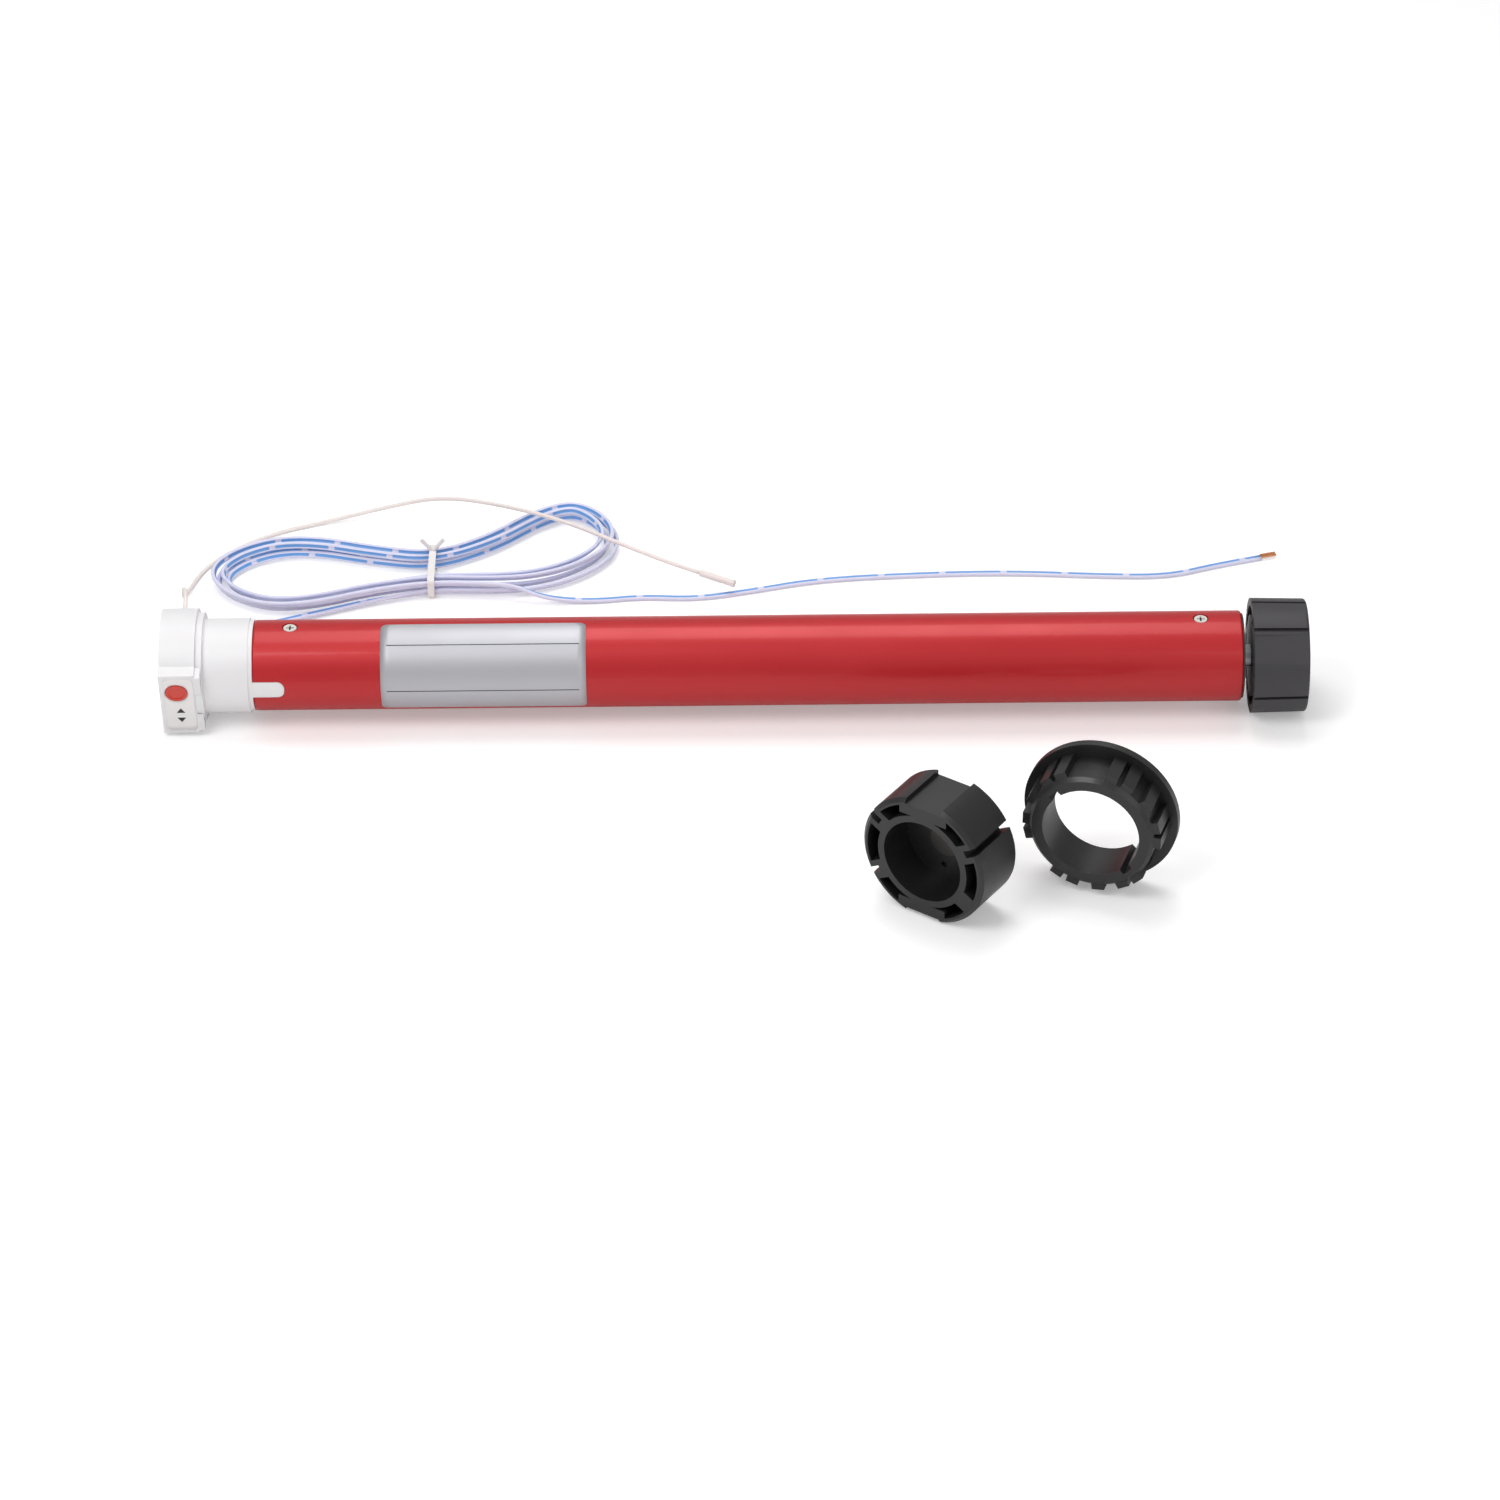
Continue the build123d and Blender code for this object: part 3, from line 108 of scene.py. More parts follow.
def build_mottle() -> bpy.types.NodeTree:
    """A slow drift of brightness and gloss over a moulded or lacquered surface.

    Returns:
        The group, which puts out a colour and a roughness.
    """
    tree = new_group(
        "mottle",
        {
            "Colour": ("NodeSocketColor", (1, 1, 1, 1)),
            "Tint": ("NodeSocketColor", (1, 1, 1, 1)),
            "Roughness": ("NodeSocketFloat", 0.5),
            "Amount": ("NodeSocketFloat", 0.1),
            "Scale": ("NodeSocketFloat", 60.0),
        },
        {"Colour": "NodeSocketColor", "Roughness": "NodeSocketFloat"},
    )
    nodes, links = tree.nodes, tree.links
    place = nodes.new("ShaderNodeTexCoord")
    noise = nodes.new("ShaderNodeTexNoise")
    noise.inputs["Detail"].default_value = 3
    links.new(place.outputs["Object"], noise.inputs["Vector"])
    links.new(nodes["in"].outputs["Scale"], noise.inputs["Scale"])
    share = nodes.new("ShaderNodeMath")
    share.operation = "MULTIPLY"
    links.new(noise.outputs["Fac"], share.inputs[0])
    links.new(nodes["in"].outputs["Amount"], share.inputs[1])
    blend = nodes.new("ShaderNodeMix")
    blend.data_type = "RGBA"
    links.new(share.outputs[0], blend.inputs["Factor"])
    links.new(nodes["in"].outputs["Colour"], blend.inputs["A"])
    links.new(nodes["in"].outputs["Tint"], blend.inputs["B"])
    drift = nodes.new("ShaderNodeMath")
    drift.operation = "MULTIPLY_ADD"
    drift.inputs[1].default_value = GLOSS_DRIFT
    links.new(share.outputs[0], drift.inputs[0])
    links.new(nodes["in"].outputs["Roughness"], drift.inputs[2])
    links.new(blend.outputs["Result"], nodes["out"].inputs["Colour"])
    links.new(drift.outputs[0], nodes["out"].inputs["Roughness"])
    return tree


def build_relief() -> bpy.types.NodeTree:
    """Fine relief: even grain, or lines stretched by a different scale on each axis.

    Returns:
        The group, which puts out a height.
    """
    tree = new_group(
        "fine_relief",
        {"Stretch": ("NodeSocketVector", (1, 1, 1)), "Scale": ("NodeSocketFloat", 1500.0)},
        {"Height": "NodeSocketFloat"},
    )
    nodes, links = tree.nodes, tree.links
    place = nodes.new("ShaderNodeTexCoord")
    stretch = nodes.new("ShaderNodeVectorMath")
    stretch.operation = "MULTIPLY"
    noise = nodes.new("ShaderNodeTexNoise")
    noise.inputs["Detail"].default_value = 2
    links.new(place.outputs["Object"], stretch.inputs[0])
    links.new(nodes["in"].outputs["Stretch"], stretch.inputs[1])
    links.new(stretch.outputs[0], noise.inputs["Vector"])
    links.new(nodes["in"].outputs["Scale"], noise.inputs["Scale"])
    links.new(noise.outputs["Fac"], nodes["out"].inputs["Height"])
    return tree


# Numbers that every finish shares; lengths in metres
RELIEF_DEPTH = 0.0002
COAT_ROUGHNESS = 0.12
SUBSURFACE_RADIUS = (0.0012, 0.0011, 0.001)
MOTTLE_SCALE = 45.0
GLOSS_DRIFT = 0.8
TINT_SHARE = 0.6

STRETCH = {
    Pattern.MOULDED: (1.0, 1.0, 1.0),
    Pattern.LACQUERED: (1.0, 1.0, 1.0),
    Pattern.BRUSHED: (0.03, 1.0, 1.0),
    Pattern.TURNED: (1.0, 0.05, 0.05),
    Pattern.WOUND: (0.15, 1.0, 1.0),
}


class Paintshop:
    """Makes each finish's material once, from the shared node groups."""

    def __init__(self) -> None:
        """Builds the shared groups."""
        self.mottle = build_mottle()
        self.relief = build_relief()
        self.made: dict[str, bpy.types.Material] = {}

    def base(self, finish: Finish) -> tuple[bpy.types.Material, bpy.types.Node]:
        """Starts a material whose plain numbers are on the shader's own sockets.

        Args:
            finish: the finish that gives the numbers.

        Returns:
            The material and its Principled BSDF node.
        """
        material = bpy.data.materials.new(finish.name)
        material.use_nodes = True
        shader = material.node_tree.nodes["Principled BSDF"]
        shader.inputs["Metallic"].default_value = finish.metallic
        shader.inputs["Coat Weight"].default_value = finish.coat
        shader.inputs["Coat Roughness"].default_value = COAT_ROUGHNESS
        if finish.subsurface:
            shader.inputs["Subsurface Weight"].default_value = finish.subsurface
            shader.inputs["Subsurface Radius"].default_value = SUBSURFACE_RADIUS
            shader.inputs["Subsurface Scale"].default_value = 1.0
        return material, shader

    def bump(self, material: bpy.types.Material, finish: Finish) -> None:
        """Adds the finish's fine relief as a bump on the shader's normal.

        Args:
            material: the material.
            finish: the finish that gives the relief's numbers.
        """
        nodes, links = material.node_tree.nodes, material.node_tree.links
        relief = nodes.new("ShaderNodeGroup")
        relief.node_tree = self.relief
        relief.inputs["Stretch"].default_value = STRETCH[finish.pattern]
        relief.inputs["Scale"].default_value = finish.grain
        bump = nodes.new("ShaderNodeBump")
        bump.inputs["Strength"].default_value = finish.relief
        bump.inputs["Distance"].default_value = RELIEF_DEPTH
        links.new(relief.outputs["Height"], bump.inputs["Height"])
        links.new(bump.outputs["Normal"], nodes["Principled BSDF"].inputs["Normal"])

    def material(self, finish: Finish) -> bpy.types.Material:
        """Gives a finish's material, made the first time it is asked for.

        Args:
            finish: the finish.

        Returns:
            Its material.
        """
        if finish.name in self.made:
            return self.made[finish.name]
        material, shader = self.base(finish)
        nodes, links = material.node_tree.nodes, material.node_tree.links
        mottle = nodes.new("ShaderNodeGroup")
        mottle.node_tree = self.mottle
        tint = finish.tint or tuple(TINT_SHARE * part for part in finish.colour)
        mottle.inputs["Colour"].default_value = (*finish.colour, 1)
        mottle.inputs["Tint"].default_value = (*tint, 1)
        mottle.inputs["Roughness"].default_value = finish.roughness
        mottle.inputs["Amount"].default_value = finish.variation
        mottle.inputs["Scale"].default_value = MOTTLE_SCALE
        links.new(mottle.outputs["Colour"], shader.inputs["Base Color"])
        links.new(mottle.outputs["Roughness"], shader.inputs["Roughness"])
        self.bump(material, finish)
        self.made[finish.name] = material
        return material

    def striped(self, finish: Finish, stripe: tuple[float, float, float]) -> bpy.types.Material:
        """A cord's sheath with a stripe along one side, broken by short white gaps.

        The piece's map gives the way round the section as U, from 0 to 1, and the length
        along the cord in metres as V.

        Args:
            finish: the sheath.
            stripe: the stripe's colour.

        Returns:
            The material.
        """
        material, shader = self.base(finish)
        nodes, links = material.node_tree.nodes, material.node_tree.links
        place = nodes.new("ShaderNodeUVMap")
        place.uv_map = "along"
        parts = nodes.new("ShaderNodeSeparateXYZ")
        links.new(place.outputs["UV"], parts.inputs[0])
        away = nodes.new("ShaderNodeMath")
        away.operation = "SUBTRACT"
        away.inputs[1].default_value = STRIPE_CENTRE
        size = nodes.new("ShaderNodeMath")
        size.operation = "ABSOLUTE"
        inside = nodes.new("ShaderNodeMapRange")
        inside.inputs["From Min"].default_value = STRIPE_HALF
        inside.inputs["From Max"].default_value = STRIPE_HALF * STRIPE_CORE
        links.new(parts.outputs["X"], away.inputs[0])
        links.new(away.outputs[0], size.inputs[0])
        links.new(size.outputs[0], inside.inputs["Value"])
        turn = nodes.new("ShaderNodeMath")
        turn.operation = "PINGPONG"
        turn.inputs[1].default_value = BREAK_PITCH / 2
        links.new(parts.outputs["Y"], turn.inputs[0])
        broken = nodes.new("ShaderNodeMapRange")
        broken.inputs["From Min"].default_value = BREAK_HALF[0]
        broken.inputs["From Max"].default_value = BREAK_HALF[1]
        links.new(turn.outputs[0], broken.inputs["Value"])
        drawn = nodes.new("ShaderNodeMath")
        drawn.operation = "MULTIPLY"
        links.new(inside.outputs["Result"], drawn.inputs[0])
        links.new(broken.outputs["Result"], drawn.inputs[1])
        blend = nodes.new("ShaderNodeMix")
        blend.data_type = "RGBA"
        blend.inputs["A"].default_value = (*finish.colour, 1)
        blend.inputs["B"].default_value = (*stripe, 1)
        links.new(drawn.outputs[0], blend.inputs["Factor"])
        links.new(blend.outputs["Result"], shader.inputs["Base Color"])
        shader.inputs["Roughness"].default_value = finish.roughness
        self.bump(material, finish)
        return material


HEAD = Finish(
    "head_plastic", (0.80, 0.79, 0.80), 0.38, relief=0.05, subsurface=0.25, variation=0.06
)
TUBE = Finish(
    "tube_lacquer", (0.48, 0.007, 0.011), 0.34, 0.25, Pattern.LACQUERED, 2600, 0.10, 0.25, 0.2,
    tint=(0.53, 0.012, 0.018),
)
PLATE = Finish("rating_plate", (0.50, 0.50, 0.53), 0.46, 0.6, Pattern.BRUSHED, 2600, 0.10, 0.10)
RULE = Finish("printed_rule", (0.02, 0.02, 0.022), 0.5)
# Painted shade: near black for the shade in the screws' cross recesses and in the gaps round their
# heads
PAINTED_SHADE = Finish("painted_screw_shade", (0.02, 0.02, 0.022), 0.6)
STEEL = Finish("steel", (0.58, 0.58, 0.60), 0.28, 1.0, Pattern.TURNED, 2200, 0.10, 0.10)
SCREW = Finish("screw_head", (0.80, 0.78, 0.72), 0.30, 0.35, Pattern.MOULDED, 1200, 0.05, 0.10)
CHARCOAL = Finish("wheel_plastic", (0.040, 0.037, 0.042), 0.42, relief=0.10, variation=0.2)
BLACK = Finish("adapter_plastic", (0.012, 0.012, 0.013), 0.33, relief=0.10, variation=0.2, coat=0.1)
RED = Finish("button_red", (0.62, 0.04, 0.02), 0.30, coat=0.2)
LABEL = Finish("button_label", (0.82, 0.80, 0.79), 0.45)
BOARD = Finish("board_green", (0.02, 0.16, 0.07), 0.35, coat=0.3)
COPPER = Finish("copper", (0.70, 0.30, 0.14), 0.30, 1.0, Pattern.WOUND, 3000, 0.4)
BRASS = Finish("brass", (0.72, 0.52, 0.22), 0.28, 1.0, Pattern.TURNED)
BLACKED = Finish("blacked_steel", (0.10, 0.095, 0.09), 0.38, 1.0, Pattern.TURNED, 2200, 0.10)
MAGNET = Finish("magnet", (0.09, 0.09, 0.10), 0.6, 0.3)
ACETAL = Finish("gear_plastic", (0.78, 0.76, 0.68), 0.35, subsurface=0.15)
CORD = Finish("cord_sheath", (0.69, 0.69, 0.86), 0.38, relief=0.04, subsurface=0.1)
AERIAL = Finish("aerial_sheath", (0.82, 0.75, 0.72), 0.42, relief=0.04)
TIE = Finish("tie_plastic", (0.82, 0.80, 0.79), 0.4)
BLUE = (0.15, 0.36, 0.74)

# The cord's stripe: shares of the way round the section, then metres along it
STRIPE_CENTRE = 0.25
STRIPE_HALF = 0.08
STRIPE_CORE = 0.8
BREAK_PITCH = 0.0176
BREAK_HALF = (0.0007, 0.0011)

NODE_FINISH: dict[Finish, tuple[str, ...]] = {
    HEAD: ("head_end_cap", "head_barrel", "cord_grommet", "aerial_grommet"),
    TUBE: ("motor_tube",),
    SCREW: ("head_screws", "gearbox_screws"),
    STEEL: (
        "motor_can", "rotor_shaft", "rotor_core", "output_shaft", "shaft_clip", "wheel_screw",
        "ring_gear", "planet_pins_1", "planet_pins_2", "planet_pins_3", "carrier_3",
        "sun_gear_1", "push_switch",
    ),
    CHARCOAL: ("drive_wheel", "end_plug", "motor_end_bell", "gearbox_plate"),
    BLACK: ("drive_adapter", "crown_ring"),
    RED: ("set_button",),
    BOARD: ("control_board", "radio_board"),
    COPPER: ("rotor_windings", "commutator", "conductor_tips", "motor_terminals"),
    BRASS: ("front_bush", "rear_bush", "inner_output_bush", "outer_output_bush"),
    BLACKED: ("adapter_insert",),
    MAGNET: ("field_magnets", "encoder_magnet", "brushes"),
    ACETAL: (
        "carrier_1", "carrier_2", *(f"planet_gear_{stage}{k}" for stage in "123" for k in "abc"),
    ),
    AERIAL: ("aerial_sleeve",),
    TIE: ("cord_tie",),
}


def mesh_piece(
    name: str, points: np.ndarray, faces: list, finish: bpy.types.Material
) -> bpy.types.Object:
    """Puts points and faces, in metres, into a smooth piece at the origin.

    Args:
        name: the piece's name.
        points: an array of N rows of X, Y, Z.
        faces: tuples of point numbers, outwards by the right-hand rule.
        finish: its material.

    Returns:
        The new object.
    """
    mesh = bpy.data.meshes.new(name)
    mesh.from_pydata(points.tolist(), [], faces)
    mesh.validate()
    mesh.polygons.foreach_set("use_smooth", [True] * len(mesh.polygons))
    mesh.materials.append(finish)
    piece = bpy.data.objects.new(name, mesh)
    bpy.context.scene.collection.objects.link(piece)
    return piece


def lay_on(piece: bpy.types.Object, thickness: float) -> None:
    """Thickens a thin piece inwards and fixes it to the motor.

    Args:
        piece: the piece, whose faces look outwards.
        thickness: how thick it becomes, in millimetres.
    """
    thick = piece.modifiers.new("thickness", "SOLIDIFY")
    thick.thickness = thickness * MM
    thick.offset = -1
    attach(piece, "motor")
    log.info("%s laid on, %.2f mm thick", piece.name, thickness)


def grid_faces(rows: int, columns: int, round_columns: bool = False) -> list:
    """The faces of a grid of points numbered row by row.

    Args:
        rows: number of rows.
        columns: number of columns.
        round_columns: whether the last column joins the first.

    Returns:
        Four point numbers for each face.
    """
    wide = columns if round_columns else columns - 1
    row, column = np.meshgrid(np.arange(rows - 1), np.arange(wide), indexing="ij")
    after = (column + 1) % columns
    here, below = row * columns, (row + 1) * columns
    corners = [here + column, below + column, below + after, here + after]
    return np.stack(corners, -1).reshape(-1, 4).tolist()


def eased(values: np.ndarray, middle: float, half: float) -> np.ndarray:
    """A smooth rise from 0 to 1 about a middle: 3 s^2 - 2 s^3 of the share s of the way.

    Args:
        values: the places to work it out at.
        middle: where it is a half.
        half: how far from the middle it starts and ends.

    Returns:
        A share for each place.
    """
    share = np.clip((values - middle) / (2 * half) + 0.5, 0, 1)
    return share * share * (3 - 2 * share)


@dataclass
class Cord:
    """A flexible cord laid on a spline with given controls, in millimetres.

    The edge lean and the wobble are in degrees, and the wobble's rate is in radians a metre.
    """

    name: str
    body: str
    points: list[tuple[float, float, float]]
    nodes: tuple[str, ...]
    width: float
    height: float
    length: float
    far_end: str
    lay: str = "loose"
    slot: str = "cord_sheath"
    with_nodes: tuple[str, ...] = ()
    edge_lean: float = 0.0
    on_edge: tuple[float, float] = (0.0, 0.0)
    wobble: float = 9.0
    wobble_rate: float = 90.0
    rise_half: float = 15.0
    settled_after: float = 25.0
    settling_half: float = 10.0
    web_share: float = 0.55
    around: int = 20

    def spline(self) -> bpy.types.Object:
        """The cord's own curve: one open spline with the points as its controls.

        Returns:
            The curve's object.
        """
        curve = bpy.data.curves.new(self.name + "_line", "CURVE")
        curve.dimensions = "3D"
        curve.resolution_u = 10
        line = curve.splines.new("NURBS")
        line.points.add(len(self.points) - 1)
        flat = np.ones((len(self.points), 4))
        flat[:, :3] = np.array(self.points) * MM
        line.points.foreach_set("co", flat.ravel())
        line.order_u = 3
        line.use_endpoint_u = True
        obj = bpy.data.objects.new(self.name + "_line", curve)
        bpy.context.scene.collection.objects.link(obj)
        return obj

    def trail(self) -> np.ndarray:
        """Points along the spline, as Blender works them out for a curve with no bevel.

        Returns:
            Rows of X, Y, Z in metres, with no two alike in a row.
        """
        guide = self.spline()
        bpy.context.view_layer.update()
        line = bpy.data.meshes.new_from_object(guide)
        points = np.zeros(len(line.vertices) * 3)
        line.vertices.foreach_get("co", points)
        curve = guide.data
        bpy.data.objects.remove(guide)
        bpy.data.curves.remove(curve)
        bpy.data.meshes.remove(line)
        points = points.reshape(-1, 3)
        apart = np.r_[1, np.linalg.norm(np.diff(points, axis=0), axis=1)]
        return points[apart > 1e-6]

    def section(self) -> np.ndarray:
        """The section: two round wires side by side with a shallow web between them.

        The half height at a place across is the wire's arc, but never less than the web's.

        Returns:
            Rows of (across, up), in metres, round the section.
        """
        turn = np.arange(self.around) / self.around * 2 * math.pi
        if self.height >= self.width:
            return np.stack([np.cos(turn), np.sin(turn)], -1) * self.width / 2 * MM
        wire = self.height / 2
        centre = self.width / 2 - wire
        across = self.width / 2 * np.cos(turn)
        lifted = np.sqrt(np.maximum(wire ** 2 - (np.abs(across) - centre) ** 2, 0))
        web = self.web_share * wire * (np.abs(across) < centre)
        up = np.maximum(lifted, web) * np.sign(np.sin(turn) + 1e-9)
        return np.stack([across, up], -1) * MM

    def build(self, material: bpy.types.Material) -> bpy.types.Object:
        """Carries the section along the trail, and closes both ends.

        A point of the tube is the trail's point plus across times the side direction plus up
        times the direction square to it. The side direction starts level and leans by the
        cord's own edge lean.

        Args:
            material: the sheath's material.

        Returns:
            The cord's mesh, fixed to its body.
        """
        trail = self.trail()
        ahead = np.gradient(trail, axis=0)
        ahead /= np.linalg.norm(ahead, axis=1)[:, None]
        side = np.cross(ahead, [0, 0, 1.0])
        side /= np.linalg.norm(side, axis=1)[:, None]
        up = np.cross(side, ahead)
        along = np.r_[0, np.cumsum(np.linalg.norm(np.diff(trail, axis=0), axis=1))]
        start, end = (place * MM for place in self.on_edge)
        rise = self.rise_half * MM
        standing = eased(along, start, rise) * (1 - eased(along, end, rise))
        sway = math.radians(self.wobble) * np.sin(along * self.wobble_rate) * standing
        lean = math.radians(self.edge_lean) * standing + sway
        lying = eased(along, self.settled_after * MM, self.settling_half * MM) * np.cos(lean) ** 2
        trail[:, 2] -= lying * (self.width - self.height) / 2 * MM
        turned = np.cos(lean)[:, None] * side + np.sin(lean)[:, None] * up
        raised = np.cos(lean)[:, None] * up - np.sin(lean)[:, None] * side
        outline = self.section()
        rings = (
            trail[:, None, :]
            + outline[None, :, :1] * turned[:, None, :]
            + outline[None, :, 1:] * raised[:, None, :]
        )
        count, around = len(trail), len(outline)
        points = np.concatenate([rings.reshape(-1, 3), trail[:1], trail[-1:]])
        faces = [face[::-1] for face in grid_faces(count, around, True)]
        first, last = count * around, count * around + 1
        faces += [(first, (k + 1) % around, k) for k in range(around)]
        tail = (count - 1) * around
        faces += [(last, tail + k, tail + (k + 1) % around) for k in range(around)]
        piece = mesh_piece(self.name, points, faces, material)
        self.map_along(piece, along, around)
        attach(piece, self.body)
        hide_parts(*self.nodes)
        log.info("%s laid over %.1f mm", self.name, along[-1] / MM)
        return piece

    def map_along(self, piece: bpy.types.Object, along: np.ndarray, around: int) -> None:
        """Maps the way round the section to U and the length along it to V.

        Args:
            piece: the cord's piece.
            along: the length along the cord at each ring, in metres.
            around: how many points each ring has.
        """
        mesh = piece.data
        layer = mesh.uv_layers.new(name="along")
        corner = np.zeros(len(mesh.loops), np.int64)
        mesh.loops.foreach_get("vertex_index", corner)
        spoke = corner % around / around
        metres = np.append(np.repeat(along, around), [along[0], along[-1]])[corner]
        starts = np.zeros(len(mesh.polygons), np.int64)
        totals = np.zeros(len(mesh.polygons), np.int64)
        mesh.polygons.foreach_get("loop_start", starts)
        mesh.polygons.foreach_get("loop_total", totals)
        # A face that crosses the map's seam has its low corners moved one turn on
        owner = np.repeat(np.arange(len(starts)), totals)
        highest = np.maximum.reduceat(spoke, starts)[owner]
        spoke = np.where((highest > 0.9) & (spoke < 0.1), spoke + 1, spoke)
        layer.data.foreach_set("uv", np.stack([spoke, metres], -1).ravel())


@dataclass
class Hank:
    """The tied hank's formula, the same as the solid's, in millimetres."""

    floor: float = -15.9
    lift: float = 0.9
    cord_width: float = 2.1
    loops: int = 4
    step: float = 2.95
    layer_gap: float = 0.62
    waist: tuple[float, float] = (70.8, 66.0)
    lengths: tuple[float, float] = (64.0, 54.0)
    waist_half: float = 8.2
    halves: tuple[float, float] = (27.0, 30.0)
    bends: tuple[float, float] = (-1.5, 16.5)
    angles: tuple[float, float] = (256.0, 284.0)
    points_per_turn: int = 24
    widest: float = 0.85

    def turns(self) -> float:
        """How many turns the hank has."""
        return self.loops + (self.angles[1] - self.angles[0]) / 360

    def outer(self, angle: float) -> np.ndarray:
        """The outermost loop at an angle about the waist: two lobes joined at the waist.

        Args:
            angle: the angle about the waist, in degrees.

        Returns:
            The loop's X and Y there, with Z 0.
        """
        cosine, sine = math.cos(math.radians(angle)), math.sin(math.radians(angle))
        right = int(cosine > 0)
        swell = min(abs(cosine) / self.widest, 1)
        swell = swell * swell * (3 - 2 * swell)
        half = self.waist_half + (self.halves[right] - self.waist_half) * swell
        across = self.waist[1] + half * sine + self.bends[right] * swell
        return np.array((self.waist[0] + self.lengths[right] * cosine, across, 0))

    def point(self, turn: float) -> np.ndarray:
        """The cord's centre after a number of turns, drawn in and out again a layer up.

        Args:
            turn: the number of turns from the hank's start.

        Returns:
            The place of the cord's centre.
        """
        angle = self.angles[0] + 360 * turn
        ahead = self.outer(angle + 1) - self.outer(angle - 1)
        inward = np.array((-ahead[1], ahead[0], 0)) / np.linalg.norm(ahead)
        climb = min(max((turn - self.turns() / 2) * 2 + 1 / 2, 0), 1)
        height = self.floor + self.lift + self.cord_width / 2
        height += (self.cord_width + self.layer_gap) * climb * climb * (3 - 2 * climb)
        inset = self.step * min(turn, self.turns() - turn)
        return self.outer(angle) + inward * inset + np.array((0, 0, height))

    def heading(self, turn: float) -> np.ndarray:
        """The unit direction of the cord after a number of turns."""
        ahead = self.point(turn + 0.001) - self.point(turn - 0.001)
        return ahead / np.linalg.norm(ahead)

    def controls(self) -> list[tuple[float, float, float]]:
        """The spline's control points: marks at even angles, with a straight at each end.

        Returns:
            The points in order, from the lead to the tail.
        """
        per_degree = self.points_per_turn / 360
        first = math.ceil(self.angles[0] * per_degree)
        last = math.floor((self.angles[0] + 360 * self.turns()) * per_degree)
        places = [(mark / per_degree - self.angles[0]) / 360 for mark in range(first, last + 1)]
        ends = [self.entry(0), *(self.point(place) for place in places), self.leaving(0)]
        return [tuple(float(value) for value in point) for point in ends]

    def entry(self, back: float) -> np.ndarray:
        """Where the lead meets the hank, or a point that far before it on its line."""
        return self.point(0) - self.heading(0) * (self.cord_width + back)

    def leaving(self, ahead: float) -> np.ndarray:
        """Where the tail leaves the hank, or a point that far past it on its line."""
        return self.point(self.turns()) + self.heading(self.turns()) * (self.cord_width + ahead)


@dataclass
class Wiring:
    """The supply cord with its hank, and the aerial wire, by the same given points as the solids.
    """

    cord_width: float = 2.1
    cord_height: float = 1.15
    aerial_width: float = 1.2
    head_radius: float = 15.9
    head_shell: float = 1.8
    cord_exit: tuple[float, float] = (5.6, -22.0)
    aerial_exit: tuple[float, float] = (5.0, 24.0)
    cord_straight: float = 9.0
    aerial_straight: float = 8.0
    hank: Hank = field(default_factory=Hank)
    lead: tuple = ((6.6, 31, -14), (13, 38.6, -14.6), (25, 42.6, -14.35))
    tail: tuple = (
        (103, 53.6, -13.6), (117, 53.4, -14.85), (131, 55.6, -14.85), (146, 54.2, -14.85),
        (161, 57.6, -14.85), (181, 63.4, -14.85), (208, 65.6, -14.85), (236, 66.4, -14.85),
        (262, 64.2, -14.85), (282, 63.4, -14.85), (297, 69.4, -14.85), (309.5, 73.0, -14.85),
    )
    aerial: tuple = (
        (3.2, 32, 5), (1.2, 46, -8), (0.6, 60, -15.2), (6, 76, -15.3), (22, 90.5, -15.3),
        (40, 97.5, -15.2), (58, 101, -12.4), (73, 99, -8.2), (92, 91, -6.6), (110, 82, -6.8),
        (126, 73.5, -9.4), (140, 66.5, -11.4), (148, 62, -11.6),
    )

    def leaving(self, exit_place: tuple[float, float], along: float) -> tuple[float, float, float]:
        """A point on the straight line out of the head's round back, from its skin.

        Args:
            exit_place: the line's X, and its angle about X in degrees.
            along: how far out from the skin.

        Returns:
            The point's X, Y, Z.
        """
        x, angle = exit_place
        reach = self.head_radius + along
        return (x, reach * math.cos(math.radians(angle)), reach * math.sin(math.radians(angle)))

    def build(self, shop: Paintshop) -> None:
        """Lays the cord and the aerial wire.

        Args:
            shop: gives the finishes.
        """
        hank = self.hank
        cord_points = [
            self.leaving(self.cord_exit, -self.head_shell),
            self.leaving(self.cord_exit, self.cord_straight),
            *self.lead,
            tuple(hank.entry(self.cord_straight)),
            *hank.controls(),
            tuple(hank.leaving(self.cord_straight)),
            *self.tail,
        ]
        Cord(
            "supply_cord", "motor", cord_points,
            ("power_cord_lead", "power_cord_hank", "power_cord_tail"),
            self.cord_width, self.cord_height, 1396.0, "bare",
            with_nodes=("conductor_tips", "cord_tie"), edge_lean=66.0, on_edge=(78.0, 1180.0),
        ).build(shop.striped(CORD, BLUE))
        aerial_points = [
            self.leaving(self.aerial_exit, -self.head_shell),
            self.leaving(self.aerial_exit, self.aerial_straight),
            *self.aerial,
        ]
        Cord(
            "aerial", "motor", aerial_points, ("aerial_wire",),
            self.aerial_width, self.aerial_width, 229.5, "fitting",
            slot="aerial_sheath", with_nodes=("aerial_sleeve",),
        ).build(shop.material(AERIAL))


